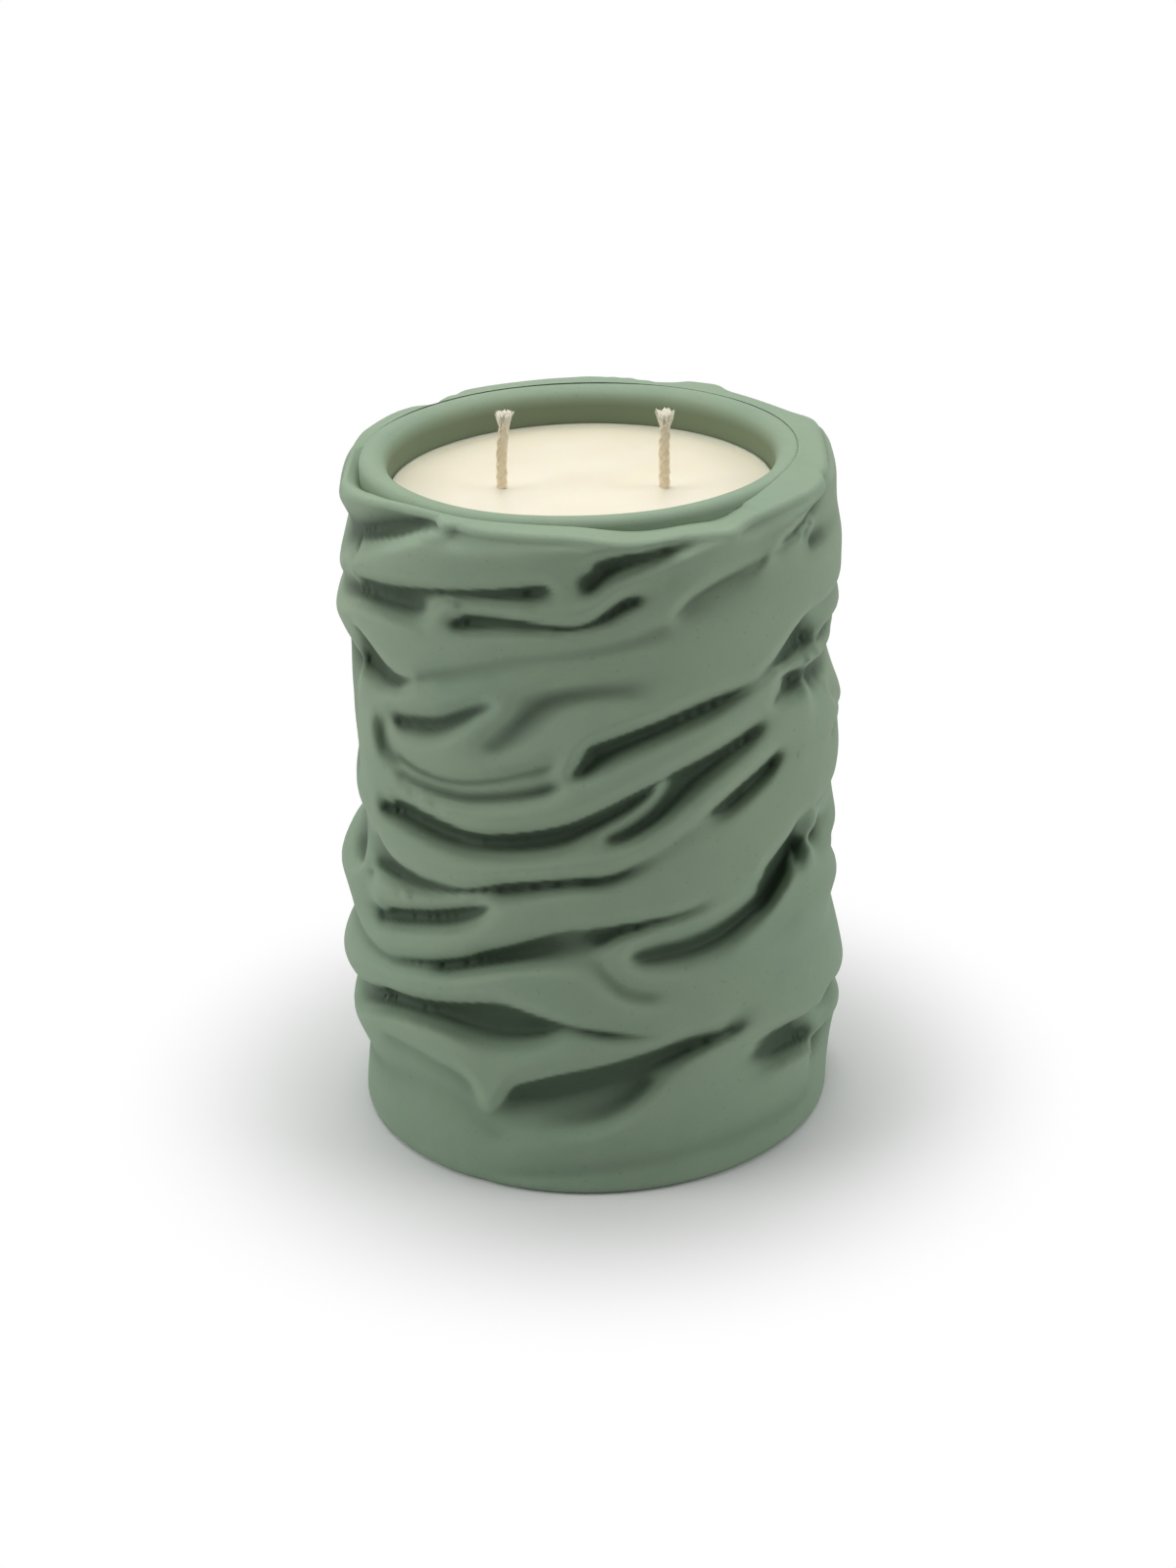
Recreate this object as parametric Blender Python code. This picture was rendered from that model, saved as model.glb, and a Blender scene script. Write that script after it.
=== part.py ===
"""A scented candle: a plain cup of wax with two wicks, wrapped in a sheet of draped folds.

Blender 4.5, metres, +Z up, origin at the middle of the underside. Sizes below are in millimetres.
"""

import math

import bmesh
import bpy
import numpy as np

MM = 0.001

# Cup
CUP_HEIGHT = 140.0
CUP_INNER_R = 37.8
CUP_WALL = 5.4
CUP_OUTER_R = CUP_INNER_R + CUP_WALL
CUP_FLOOR = 8.0
LIP_OUTER_ROUND = 2.2
LIP_INNER_ROUND = 3.0
WELL_CORNER_ROUND = 4.0
FOOT_ROUND = 0.8

# Gap kept between separate pieces
GAP = 0.3

# Wax
WAX_BELOW_LIP = 7.9
WAX_TOP = CUP_HEIGHT - WAX_BELOW_LIP
WAX_R = CUP_INNER_R - GAP
WAX_BOTTOM = CUP_FLOOR + GAP
MENISCUS_RISE = 0.5
MENISCUS_WIDTH = 2.5

# Wicks, each on a metal clip that an adhesive disc holds to the cup floor
WICK_R = 1.07
WICK_ABOVE_WAX = 15.9
WICK_LEAN = {"left": 1.0, "right": 0.3}
# Share of the height above the wax, width and lean as shares of the wick's radius and whole lean
WICK_STATIONS = (
    (0.06, 1.0, 0.0), (0.31, 1.0, 0.02), (0.57, 0.96, 0.3), (0.77, 0.98, 0.75), (0.89, 1.25, 0.95),
    (0.98, 1.7, 1.0), (1.0, 1.55, 1.0),
)
WICK_SITES = {"left": (-15.5, -1.4), "right": (16.1, -3.4)}
STICKER_R = 9.0
STICKER_THICK = 1.0
CLIP_R = 10.0
CLIP_THICK = 0.6
CLIP_NECK_R = 2.3
CLIP_NECK_BORE_R = WICK_R + GAP
CLIP_NECK_HEIGHT = 9.0
CLIP_BOTTOM = CUP_FLOOR + GAP + STICKER_THICK + GAP
WICK_BOTTOM = CLIP_BOTTOM + CLIP_THICK + GAP
WAX_BORE_R = WICK_R + GAP
WAX_POCKET_R = CLIP_R + GAP
WAX_POCKET_TOP = CLIP_BOTTOM + CLIP_THICK + GAP
WAX_NECK_POCKET_R = CLIP_NECK_R + GAP
WAX_NECK_POCKET_TOP = CLIP_BOTTOM + CLIP_NECK_HEIGHT + GAP

# Drape
DRAPE_INNER_R = CUP_OUTER_R + GAP
DRAPE_THINNEST = 0.9
DRAPE_FOOT_THICK = 5.0
DRAPE_TRIANGLES = 10200
FINE_COLUMNS = 320
FINE_ROWS = 240
BORE_SEGMENTS = 72

# The folds were read off a photo, as they seem to lie on a cylinder of READ_R seen from EYE.
# A fold that stands at another radius lies elsewhere on the same line of sight.
READ_R = 49.0
READ_HEIGHT = 140.0
READ_INNER_R = 43.5
READ_FOOT_R = 48.5
EYE = (0.0, -578.6, 330.1)
FACING_TO = 40.0
SEEN_TO = 74.0
SIGHT_MARGIN = 1.3

# Grid that the relief is worked out on
MAP_COLUMNS = 540
MAP_ROWS = 400
LIP_STEP = 0.5
LAP_ENDS = 2.5
EDGE_ROUND = 1.4
EDGE_FADE = 3.0
FOOT_FADE = 6.0
TUCK = 1.3
STIFF = 30.0
CRISP_REACH = 1.6
SOFT_BLUR = 0.75
CREASE_FROM_R = 49.9
CREASE_DEEPEN = 1.55
LOWEST_R = READ_INNER_R + 0.8

# Each line is (radius or radii along it, points of (angle, height)). Angle 0 faces the viewer,
# + is to the viewer's right, and points beyond SEEN_TO are true angles round the back.
CRESTS = {
    "flap": (
        (47.4, 49.2, 49.0, 48.0, 47.0),
        ((-84, 133.6), (-67, 137), (-60, 138.2), (-50, 139.6), (-42, 141)),
    ),
    "left notch": ((45.8, 45.0, 45.0), ((-64, 129), (-80, 127), (-92, 125.5))),
    "band A": (
        (48.3, 49.6, 50.4, 50.4, 50.2, 49.6, 48.6),
        ((-84, 118.6), (-64, 126.5), (-50, 129.5), (-35, 132.4), (-20, 134.2), (0, 136.6), (12, 137.6),
         (22, 138.4), (30, 137)),
    ),
    "upper band": (
        (47.5, 48.6, 48.6, 47),
        ((-32, 139.4), (-20, 140.8), (-10, 141.4), (0, 140.9), (8, 139.9)),
    ),
    "A to S web": ((49.5, 49.0), ((-4, 131.5), (-3.5, 127))),
    "S rope": (
        (48.6, 49.6, 50.2, 50.4, 50.2, 50.2, 50.2, 50.4),
        ((-37.5, 116.8), (-36, 119.6), (-33.5, 122.6), (-30, 124.2), (-25, 124.7), (-18, 124.6),
         (-10, 124.2), (-4, 123.6), (1, 125), (4, 127.2), (8, 129.6), (13, 131.2), (18, 132.2)),
    ),
    "under S": (
        (49.2, 49.6, 49.6, 49.4, 49.6, 49.4),
        ((-32, 117), (-20, 118.9), (-10, 119.8), (-2, 120.4), (4, 121.4), (9, 123.6), (13, 124.8),
         (16.5, 127), (19, 129.5)),
    ),
    "D1": (
        (51.0, 51.0, 51.0, 51.0, 51.0, 50.6, 49.9, 49.6),
        ((20, 132.8), (25, 133.8), (30, 135.2), (35, 137), (40, 138.6), (46, 140.4), (54, 142.5),
         (60, 143.5)),
    ),
    "D2": (51.0, ((44, 128.4), (48, 130.8), (52, 132), (58, 133.2), (64, 135.4))),
    "B": (
        (49.4, 50.2, 50.2, 49.4),
        ((-84, 109.8), (-66, 115.4), (-58, 116.6), (-48, 116.8), (-38, 116), (-28, 116.2)),
    ),
    "B roll": (
        (49.6, 49.8, 49.6),
        ((-44, 109), (-35, 111.8), (-25, 114.4), (-15, 117), (0, 118.8), (10, 120.4), (17, 122)),
    ),
    "knot": ((47.5, 48.5, 48), ((-68, 108.4), (-64, 105), (-62.5, 101), (-65, 97), (-64, 94.5))),
    "C": (
        (48.0, 49.0, 49.2),
        ((-62, 97), (-55, 99), (-50, 101), (-45, 103.4), (-40, 105.2), (-35, 107.4)),
    ),
    "C brow": (49.2, ((-46, 99.8), (-42, 100.9), (-35, 101.9), (-30, 104), (-25, 106), (-21, 107.2))),
    "pouch roll": (
        (48.4, 49.4, 49.2),
        ((-50, 95.4), (-46, 93.2), (-40, 92.6), (-34, 94.6), (-29, 98), (-24, 101.6), (-18, 105)),
    ),
    "pouch base": (
        (48.6, 49, 49),
        ((-44, 91), (-34, 90.6), (-24, 91.8), (-15, 94.6), (-8, 98), (-4, 102.5), (2, 105.6), (14, 105.6)),
    ),
    "P1": (
        (49.0, 49.8, 50.4, 50.6, 50.6),
        ((-16, 110.5), (0, 112.8), (14, 114.6), (28, 116), (42, 118.6), (56, 121), (70, 122), (84, 120)),
    ),
    "P1 edge": (
        (49.8, 50.4, 50.4),
        ((4, 103), (14, 105.4), (26, 107.4), (38, 109), (48, 112.6), (60, 116)),
    ),
    "mid roll": (48.8, ((-47, 87.2), (-40, 86.6), (-30, 86.6), (-20, 88), (-12, 89.8), (-6, 91.4))),
    "left turn": (49.6, ((-58.5, 95), (-57.5, 88), (-57, 82), (-58, 77), (-61, 74))),
    "turn crease": (46.8, ((-53.5, 96), (-54, 92.5), (-52, 90), (-49, 88.4))),
    "E": (
        (49.5, 50.8, 50.8, 50.8, 50.4),
        ((-57, 86), (-50, 85), (-45, 84), (-40, 83.2), (-35, 82.6), (-30, 82.2), (-25, 82.6), (-20, 83.2),
         (-15, 84.2), (-10, 85.6), (-5, 87.4), (0, 89.2), (5, 91.2), (10, 93.2), (15, 94.8), (20, 96.4),
         (25, 98), (30, 99.4), (35, 100.6), (40, 101.8), (45, 102.8)),
    ),
    "rope M": (48.9, ((-2, 77.5), (5, 80.6), (8, 82.2), (12, 84.8), (15, 88), (17, 90))),
    "F shoulder": (
        (49.2, 49.8, 49.4),
        ((-52, 74.6), (-45, 73.8), (-40, 72.8), (-32, 72.2), (-25, 72.4), (-15, 73.4), (-8, 74.6),
         (-2, 76.2)),
    ),
    "F": (
        (48.5, 50.6, 51.0, 51.0, 50.6, 50.4, 50.4),
        ((-62, 76), (-60, 72), (-56, 69.6), (-50, 69.6), (-40, 69.4), (-30, 69.8), (-20, 71.2),
         (-10, 72.2), (0, 73.2), (5, 74.4), (10, 76.4), (15, 78.6), (20, 81.2), (25, 84), (30, 86.6),
         (35, 89), (40, 91), (45, 92.8), (52, 95)),
    ),
    "F panel": (50.0, ((6, 68.4), (16, 71), (26, 75), (36, 79), (46, 83), (56, 86))),
    "G": (
        (51.3, 50.8, 50.2, 49.8),
        ((-84, 57), (-66, 61.4), (-58, 60.8), (-50, 60), (-40, 61.4), (-32, 63.2), (-25, 65.2)),
    ),
    "H": (
        (49.6, 50.4, 50.4, 50.2),
        ((-62, 47.6), (-55, 50.3), (-45, 52.6), (-40, 53.8), (-35, 54.8), (-30, 56.2), (-27, 57.6),
         (-24, 60), (-22, 61.8), (-18, 63.4), (-12, 65.2), (-5, 67), (5, 66.6), (15, 66), (25, 67),
         (35, 69.4)),
    ),
    "J loop": (
        (49.8, 50.4, 50.6, 50.6, 50.4, 50.6, 50.6),
        ((39.5, 61.6), (35, 60.4), (28, 59.3), (20, 58.5), (12, 57.7), (7, 56.4), (4.6, 54.2), (4.2, 52),
         (5.6, 50.2), (9, 48.6), (14, 47.4), (20, 46.6), (27, 46.2), (35, 46.8), (45, 48.6), (55, 50.4)),
    ),
    "K near side": (
        50.8,
        ((56.5, 63.6), (52, 59.4), (47, 55.6), (40, 51.8), (34, 49.4)),
    ),
    "right lower fold": (51.2, ((67, 76), (66.5, 70), (65, 63), (62, 56), (60, 50), (58, 45))),
    "right upper fold": (50.6, ((58, 82), (60, 88), (61.5, 94), (63, 99), (65, 103))),
    "O sill": (49.6, ((44, 104.4), (50, 105.6), (56, 105.6), (63, 105))),
    "Q": (
        (52.0, 51.4, 51.2, 51.0, 50.6, 50.4, 50.4),
        ((-84, 35), (-66, 37), (-50, 41), (-35, 45), (-25, 47.8), (-15, 49.6), (-6, 49.4), (-1, 46.6),
         (4, 43.2), (10, 40.8), (20, 39.6), (35, 39.6), (50, 40), (64, 40)),
    ),
    "Q edge": (
        (51.2, 51.4, 51.2, 50.8),
        ((-62, 37.2), (-50, 39.6), (-40, 41.8), (-30, 43.8), (-22, 44.8), (-14, 43.8), (-6, 41.4),
         (2, 39.2)),
    ),
    "R": (
        (50.9, 51.0, 51.2, 51.0, 50.4, 50.2, 50.0),
        ((-84, 21.5), (-66, 27), (-55, 30), (-45, 31.4), (-35, 30.8), (-28, 28.4), (-24, 27.8),
         (-18, 29.6), (-10, 33), (-6, 36), (-3, 36), (3, 34.6), (10, 34.6), (18, 35)),
    ),
    "drip": ((50.8, 50.8), ((-27, 27), (-26.4, 23), (-26, 20))),
    "U": (
        (48.8, 49.8, 50.6, 50.8, 51.0, 51.0),
        ((-22, 9), (-14, 11), (-6, 12.4), (1, 13.6), (7, 15.6), (11, 18), (15, 21.4), (19, 25), (24, 28),
         (29, 29.6), (36, 30.6), (50, 31.2), (62, 30)),
    ),
    "foot right": ((49.2, 50.0, 50.6, 51.0, 51.4), ((18, 14), (35, 17), (48, 17.6), (60, 17.2), (84, 18))),
}

VALLEYS = {
    "above flap": (45.2, ((-84, 138.6), (-78, 138.8))),
    "under flap": (
        (45.1, 45.4, 44.9, 44.8, 45.4),
        ((-84, 126.5), (-68, 131), (-60, 132.4), (-50, 134.6), (-42, 136.8), (-36, 138.4)),
    ),
    "upper crease": (48.8, ((-24, 138.4), (-12, 139), (0, 138.8), (8, 139.2))),
    "under A": (
        (48.2, 46.6, 46.6, 46.4),
        ((-84, 114.6), (-66, 120.2), (-56, 121.4), (-46, 122), (-38, 122.4)),
    ),
    "A hole": (44.6, ((-28, 126.9), (-20, 127.6), (-12, 128.4), (-8.5, 128.8))),
    "S right pocket": (
        (45.6, 45.4, 45.2, 45.4, 46.0, 47.4),
        ((0.6, 128.8), (1.2, 130.6), (3.4, 132.6), (8, 133.8), (14, 134.4), (20, 135)),
    ),
    "S hole": (
        (44.8, 44.6, 44.8, 45.6, 46.6, 45.6, 45.2, 46.2),
        ((-29, 120.8), (-24, 121.6), (-16, 121.8), (-8, 121.5), (-2, 121.3), (4, 123.2), (8, 125.4),
         (11.5, 126.3)),
    ),
    "D1 crease": (48.4, ((21, 122.6), (24, 124.4), (29, 126.2), (36, 127.6))),
    "D1 D2 crease": (47.4, ((48, 131.6), (52, 133.2), (56, 135), (60, 137.2), (64, 139.4))),
    "D2 pocket": (45.4, ((61, 128.6), (66, 129.2))),
    "B roll crease": (
        (48.2, 48.6, 48.8),
        ((-41, 107.2), (-35, 109.4), (-30, 111), (-25, 112.4), (-20, 113.8), (-15, 115.2), (-10, 115.9),
         (0, 116.8), (10, 118.4), (18, 120.4)),
    ),
    "C hole": (44.6, ((-60, 108.6), (-55, 107), (-50, 105.9), (-46, 105.5))),
    "lens": (
        (46.2, 46.2, 46.6, 47.4),
        ((-46.5, 97.7), (-42, 98.4), (-35, 99.4), (-30, 101.4), (-25, 103.5), (-22, 104.9)),
    ),
    "lens floor": (47.6, ((-43, 97), (-37, 97.4), (-31, 99.6), (-27, 101.6))),
    "pouch": (
        (48, 47.4, 47.4, 48.4),
        ((-22, 96), (-18, 99), (-14, 103), (-8, 107), (0, 108.4), (10, 108.6)),
    ),
    "P1 hole": (
        (46.2, 44.6, 44.6, 44.6, 44.6, 44.8, 45.2, 46.2),
        ((-3, 92.6), (0, 95.6), (5, 97.8), (10, 99.3), (15, 100.6), (20, 101.9), (25, 103), (30, 103.9)),
    ),
    "P1 far hole": (45.4, ((47, 107.4), (52, 109), (57, 110.6), (62, 111.4))),
    "mid crease": (47.4, ((-47, 86), (-40, 85.4), (-30, 85.1), (-20, 86.6), (-12, 88), (-8, 89.3))),
    "turn recess": (45.0, ((-63, 92), (-62.5, 88), (-61.5, 84))),
    "E hole": (
        (45.2, 44.5, 44.5, 44.5, 44.5, 44.6, 45.4),
        ((-52, 78.6), (-45, 78.4), (-40, 77.6), (-35, 76.8), (-30, 76.4), (-25, 76.4), (-20, 76.8),
         (-15, 77.4), (-10, 78.2), (-5, 79.6), (0, 81.8), (5, 84), (10, 86.2), (13, 87.8)),
    ),
    "M valley": (
        (46.4, 46.2, 46.0, 46.4),
        ((4, 78.3), (8, 79.4), (12, 81.3), (16, 84), (20, 87.8), (25, 90.6), (30, 92.8), (35, 94.4),
         (40, 95.8)),
    ),
    "F far hole": (44.8, ((29, 81), (32, 82.4), (36, 84), (40, 85.6), (44, 87.2))),
    "above G": ((45.8, 47.0, 47.4), ((-84, 67), (-62, 65.4), (-52, 64), (-42, 63.8), (-33, 64.8))),
    "G hole": (
        (46.6, 45.2, 44.7, 44.7, 44.7, 44.7, 44.7),
        ((-56, 53.4), (-50, 54.6), (-45, 56), (-40, 57.2), (-35, 58.4), (-30, 60.2), (-26, 62)),
    ),
    "H hole": (
        (47.4, 46.6, 46.0, 46.2, 46.8, 47.4, 47.8),
        ((-38, 46.8), (-32, 48.8), (-26, 51), (-20, 52.8), (-14, 54.2), (-6, 55.6), (0, 56.2)),
    ),
    "J mouth": (45.0, ((1.6, 57.2), (3, 58.6), (6, 59.4), (11, 59.8))),
    "J inside": (
        (46.8, 46.0, 45.6, 45.4, 45.0, 44.8),
        ((9.5, 53.2), (15, 53.4), (22, 53.8), (30, 55.2), (36, 57.2), (41, 59.8)),
    ),
    "K hole high": (
        (44.6, 44.6, 44.6, 44.8, 46.4),
        ((41.5, 62), (43.5, 64), (47, 66), (52, 67.8), (57, 69.6)),
    ),
    "K hole mid": (
        (44.6, 44.6, 44.6, 45.0),
        ((41, 59.4), (45, 61.8), (49, 64.4), (53, 66.8)),
    ),
    "K hole low": ((45, 44.8, 45, 46.6), ((42, 57.6), (46, 60), (50, 62.8), (53, 65))),
    "right lower valley": (46.0, ((70, 67), (69.5, 60), (68, 53))),
    "right upper pocket": (45.2, ((66.5, 98), (68.5, 93), (68, 87))),
    "O hole": (45.3, ((48.5, 102.2), (52, 102.6), (57, 102.4), (62, 101.6))),
    "Q J crease": (48.9, ((1.5, 53), (4, 48), (7.5, 45), (13, 43.6))),
    "Q hole": (
        (45.2, 45.0, 44.8, 45.0, 46.0),
        ((-66, 32.2), (-60, 33.6), (-50, 36), (-42, 37), (-35, 37.2), (-27, 36.6), (-20, 36.4),
         (-14, 37.4), (-10, 38.4)),
    ),
    "bowl": (
        (47.4, 46.4, 46.0, 45.8, 45.8, 46.6, 48),
        ((-18, 21), (-12, 23), (-4, 25.4), (4, 27.8), (11, 29.6), (18, 31.4), (27, 32.6), (35, 33)),
    ),
    "bowl floor": ((48.2, 47.4, 47.0, 46.8), ((-16, 17), (-8, 17.6), (0, 19), (7, 22), (12, 26))),
    "V": (
        (47.2, 45.6, 45.2, 45.2, 46.0, 47.6),
        ((40, 25.4), (46, 24.8), (52, 24.2), (58, 23.2), (64, 22.6), (69, 22.2)),
    ),
    "W": (45.8, ((57, 34.2), (60, 33.3), (63, 32))),
    "foot front": (
        48.5,
        ((-30, 1.5), (-20, 3), (-10, 5), (0, 6.4), (10, 7.4), (20, 8.2), (40, 8.6), (60, 8)),
    ),
    "foot left": ((48.0, 48.3, 48.4, 48.4), ((-84, 12.5), (-60, 17), (-45, 19.6), (-34, 18), (-24, 12))),
}

# Edges where the sheet laps over itself: radii just above the edge, radii just below it, points.
LAPS = {
    "A top": (
        (45.4, 45.0, 45.0, 46.6),
        (48.8, 49.6, 49.8, 48.8),
        ((-63, 129.2), (-55, 131.4), (-50, 132.8), (-45, 134.2), (-40, 136), (-35, 137.4), (-30, 138.7)),
    ),
    "A": (
        (49.6, 50.6, 50.6, 50.4, 50.2),
        (46.4, 46.2, 45.6, 44.5, 44.6),
        ((-66, 122), (-60, 123.2), (-50, 124.8), (-40, 126.2), (-30, 127.3), (-20, 128.5), (-10, 129.7),
         (-7, 129.9)),
    ),
    "A right": (
        (50.2, 50.4, 50.4, 50.2, 50.0, 49.8),
        (45.0, 44.6, 44.6, 45.0, 46.6, 48.6),
        ((0.5, 133), (4, 134.6), (10, 135), (15, 135.2), (20, 135.5), (25, 136)),
    ),
    "S": (
        (49.8, 50.4, 50.4, 50.2, 50.2, 50.0, 49.8),
        (45.0, 44.5, 44.6, 45.4, 46.2, 45.0, 46.4),
        ((-29, 122.3), (-26, 122.9), (-20, 123.1), (-13, 122.7), (-6, 121.9), (0, 122.1), (4, 124.3),
         (8, 126.6), (12, 127.6)),
    ),
    "D1": (
        (50.2, 50.8, 50.8, 50.8),
        (49.0, 47.2, 47.0, 48.0, 49.6),
        ((18, 120.8), (20.5, 123.2), (24, 125.6), (30, 127.6), (36, 128.8), (44, 129.8), (54, 130.2)),
    ),
    "D2": (51.0, (46.6, 46.0), ((58, 129.6), (66, 130.2))),
    "C": (
        (49.2, 49.6, 49.6, 49.2),
        (45.4, 44.6, 44.5, 44.6, 47.8),
        ((-70, 111), (-65, 111.2), (-60, 110.2), (-55, 108.6), (-50, 107.4), (-46, 106.9), (-41, 107.6)),
    ),
    "P1": (
        (50.0, 50.6, 50.6, 50.6, 50.6, 50.2),
        (46.5, 45.2, 44.5, 44.5, 44.5, 44.5, 44.5, 44.6, 44.8, 45.4, 46.8, 48.8, 47.2, 45.6, 45.2, 46.0,
         48.2),
        ((-5, 91), (-2.5, 93.6), (-1, 96.2), (0.5, 98), (5, 99.3), (10, 100.6), (15, 101.8), (20, 103),
         (25, 104), (30, 104.7), (35, 105.1), (40, 105.6), (45, 107.6), (50, 109.6), (55, 111.5),
         (60, 112.6), (66, 113)),
    ),
    "pouch": (
        (48.4, 49.0, 49.0, 49.0),
        (46.6, 46.4, 46.8, 47.2),
        ((-49, 91), (-45, 89.6), (-38, 88.6), (-30, 88.7), (-22, 90.2), (-14, 92.4), (-7, 94.4)),
    ),
    "E": (
        (50.0, 51.0, 51.0, 51.0, 50.8, 50.8, 49.8),
        (46.0, 44.5, 44.5, 44.5, 45.0, 45.4, 47.8),
        ((-53, 79.2), (-50, 80.2), (-45, 80.7), (-40, 80.2), (-35, 79.5), (-30, 78.8), (-25, 78.6),
         (-20, 79.2), (-15, 80), (-10, 81), (-5, 82.2), (0, 84), (5, 86), (10, 88), (15, 89.7),
         (20, 91.5), (25, 92.8), (30, 94), (35, 95.2), (40, 96.4), (44, 97)),
    ),
    "E end": (50.0, (48.6, 46.6, 46.2), ((45, 98), (47, 100), (48.5, 102))),
    "F": (
        (49.4, 50.8, 51.0, 51.0, 50.8, 50.4, 50.4, 50.8, 50.6),
        (48.4, 47.4, 47.0, 46.6, 46.4, 46.0, 45.6, 45.2, 44.8, 44.6, 44.6, 44.6, 44.8, 45.4, 48.0, 49.2,
         49.2, 49.0, 46.0, 44.7, 44.7, 45.6, 48.6),
        ((-62, 72), (-60, 69.5), (-57, 67.6), (-53, 66.6), (-45, 66.1), (-35, 66), (-30, 66.3),
         (-25, 67.3), (-20, 68.7), (-15, 69.5), (-10, 70.1), (-5, 70.6), (0, 70.9), (5, 71.3), (10, 73.1),
         (15, 75.1), (20, 77.5), (25, 80.2), (30, 82.6), (35, 84.8), (40, 86.6), (45, 88.2), (50, 89.6)),
    ),
    "G": (
        (50.0, 50.0, 49.8, 49.6),
        (48.2, 47.0, 45.4, 44.6, 44.6, 44.6, 44.6, 45.2, 45.8, 46.0),
        ((-62, 53.4), (-58, 54.2), (-55, 55.2), (-50, 56.5), (-45, 58), (-40, 59.3), (-35, 60.7),
         (-30, 62.1), (-25, 63.1), (-23, 63.6)),
    ),
    "H": (
        (49.8, 50.6, 50.4, 50.4, 50.2),
        (48.6, 47.4, 46.8, 46.0, 45.2, 44.8, 44.8, 45.0, 45.6, 46.4, 46.8, 46.6, 46.0, 47.0, 49.2),
        ((-60, 43.4), (-50, 45.6), (-45, 47.1), (-40, 48.3), (-35, 49.8), (-30, 51.4), (-25, 53.6),
         (-20, 55.3), (-15, 57.1), (-10, 58.8), (-5, 59.9), (0, 60.2), (10, 60.8), (20, 61.4), (28, 62.8)),
    ),
    "K": (
        (50.6, 50.8, 50.6),
        (45.0, 44.5, 44.5, 44.6, 46.4, 48.8),
        ((41.5, 64), (44, 65.7), (47, 67), (50, 68), (55, 69.5), (60, 71.4)),
    ),
    "O": (
        (50.4, 50.4),
        (46.2, 45.3, 46.6),
        ((47.5, 103.5), (50, 104), (55, 103.6), (60, 102.7), (66, 101.7)),
    ),
    "Q": (
        (50.8, 51.6, 51.6, 51.4, 51.0, 50.6, 50.4),
        (46.4, 45.6, 45.2, 45.0, 44.8, 44.8, 44.8, 44.8, 45.2, 46.0, 47.0, 46.4, 46.8, 47.8, 48.8, 49.4,
         49.8),
        ((-70, 31.6), (-65, 33.5), (-60, 35), (-50, 37.3), (-40, 39.4), (-30, 41.4), (-25, 42.3),
         (-20, 42.4), (-15, 41.4), (-10, 40.2), (-5, 38.9), (0, 37.9), (5, 37.1), (10, 36.2), (15, 35.6),
         (20, 35.1), (30, 34.6)),
    ),
    "R": (
        (50.4, 51.0, 51.0, 51.0, 51.0, 50.6, 50.4),
        (48.6, 48.4, 48.2, 48.2, 48.2, 48.2, 48.2, 48.2, 48.0, 47.8, 47.2, 46.6, 46.0, 45.6, 45.4, 45.4,
         45.6, 45.6, 45.6, 45.6, 45.8, 46.2, 48.4),
        ((-64, 23.6), (-55, 25.5), (-45, 26.1), (-40, 25.7), (-35, 25), (-32, 24), (-30, 22.4),
         (-28.8, 20.4), (-27.5, 18.6), (-26, 18), (-24.4, 18.8), (-22.6, 20.6), (-21, 22.8), (-19, 24.8),
         (-15, 26.3), (-10, 27.9), (-5, 29.1), (0, 30.1), (5, 31.1), (10, 32.1), (15, 33), (20, 33.8),
         (30, 34.2)),
    ),
    "V": (
        (50.4, 51.0, 51.2, 51.4),
        (48.4, 45.8, 45.2, 45.0, 45.4, 47.4, 50.2),
        ((38, 27.8), (45, 28.5), (50, 28.1), (55, 27.2), (60, 26), (68, 24.6), (74, 23.6)),
    ),
}

# Where folds run on across the sheet's two sides: true height and radius or radii at the side
SIDES = {
    "right": {
        "crests": {
            "D2": (135.4, 48.9), "P1": (121.6, 50.6), "O sill": (106.6, 49.6), "F panel": (87.4, 51.0),
            "Q": (41.4, 50.4), "U": (28.2, 51.6), "foot right": (18.0, 51.4),
        },
        "valleys": {"O hole": (101.2, 48.0)},
        "laps": {"P1": (113.8, 49.9, 48.8), "O": (102.6, 49.6, 48.2), "K": (72.8, 50.2, 48.8)},
    },
    "left": {
        "crests": {
            "flap": (132.8, 47.6), "band A": (117.8, 48.2), "B": (109.4, 49.4), "C": (94.0, 46.6),
            "F": (74.4, 48.2), "G": (57.4, 50.9), "Q": (34.6, 51.8), "R": (21.8, 50.9),
        },
        "valleys": {
            "under flap": (125.6, 45.1), "under A": (114.4, 47.2), "above G": (65.8, 47.4),
            "foot left": (12.8, 47.8),
        },
        "laps": {"F": (70.2, 48.0, 47.0), "H": (42.8, 50.0, 48.4), "Q": (29.0, 50.8, 49.4)},
    },
}

# The photo doesn't show the back: the front's folds run on round it, mirrored, spread and swayed
BACK_SPREAD = 1.12
BACK_SWAY = 3.0
BACK_SWAY_TURN = 1.6
BACK_SWAY_FROM = 40.0
BACK_REACH = 68.0
NOT_BEHIND = (
    "left notch", "drip", "W", "J mouth", "turn crease", "turn recess", "left turn", "knot", "C hole",
    "D1 D2 crease", "right upper fold", "right upper pocket", "right lower fold",
    "right lower valley", "D2 pocket",
)

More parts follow.
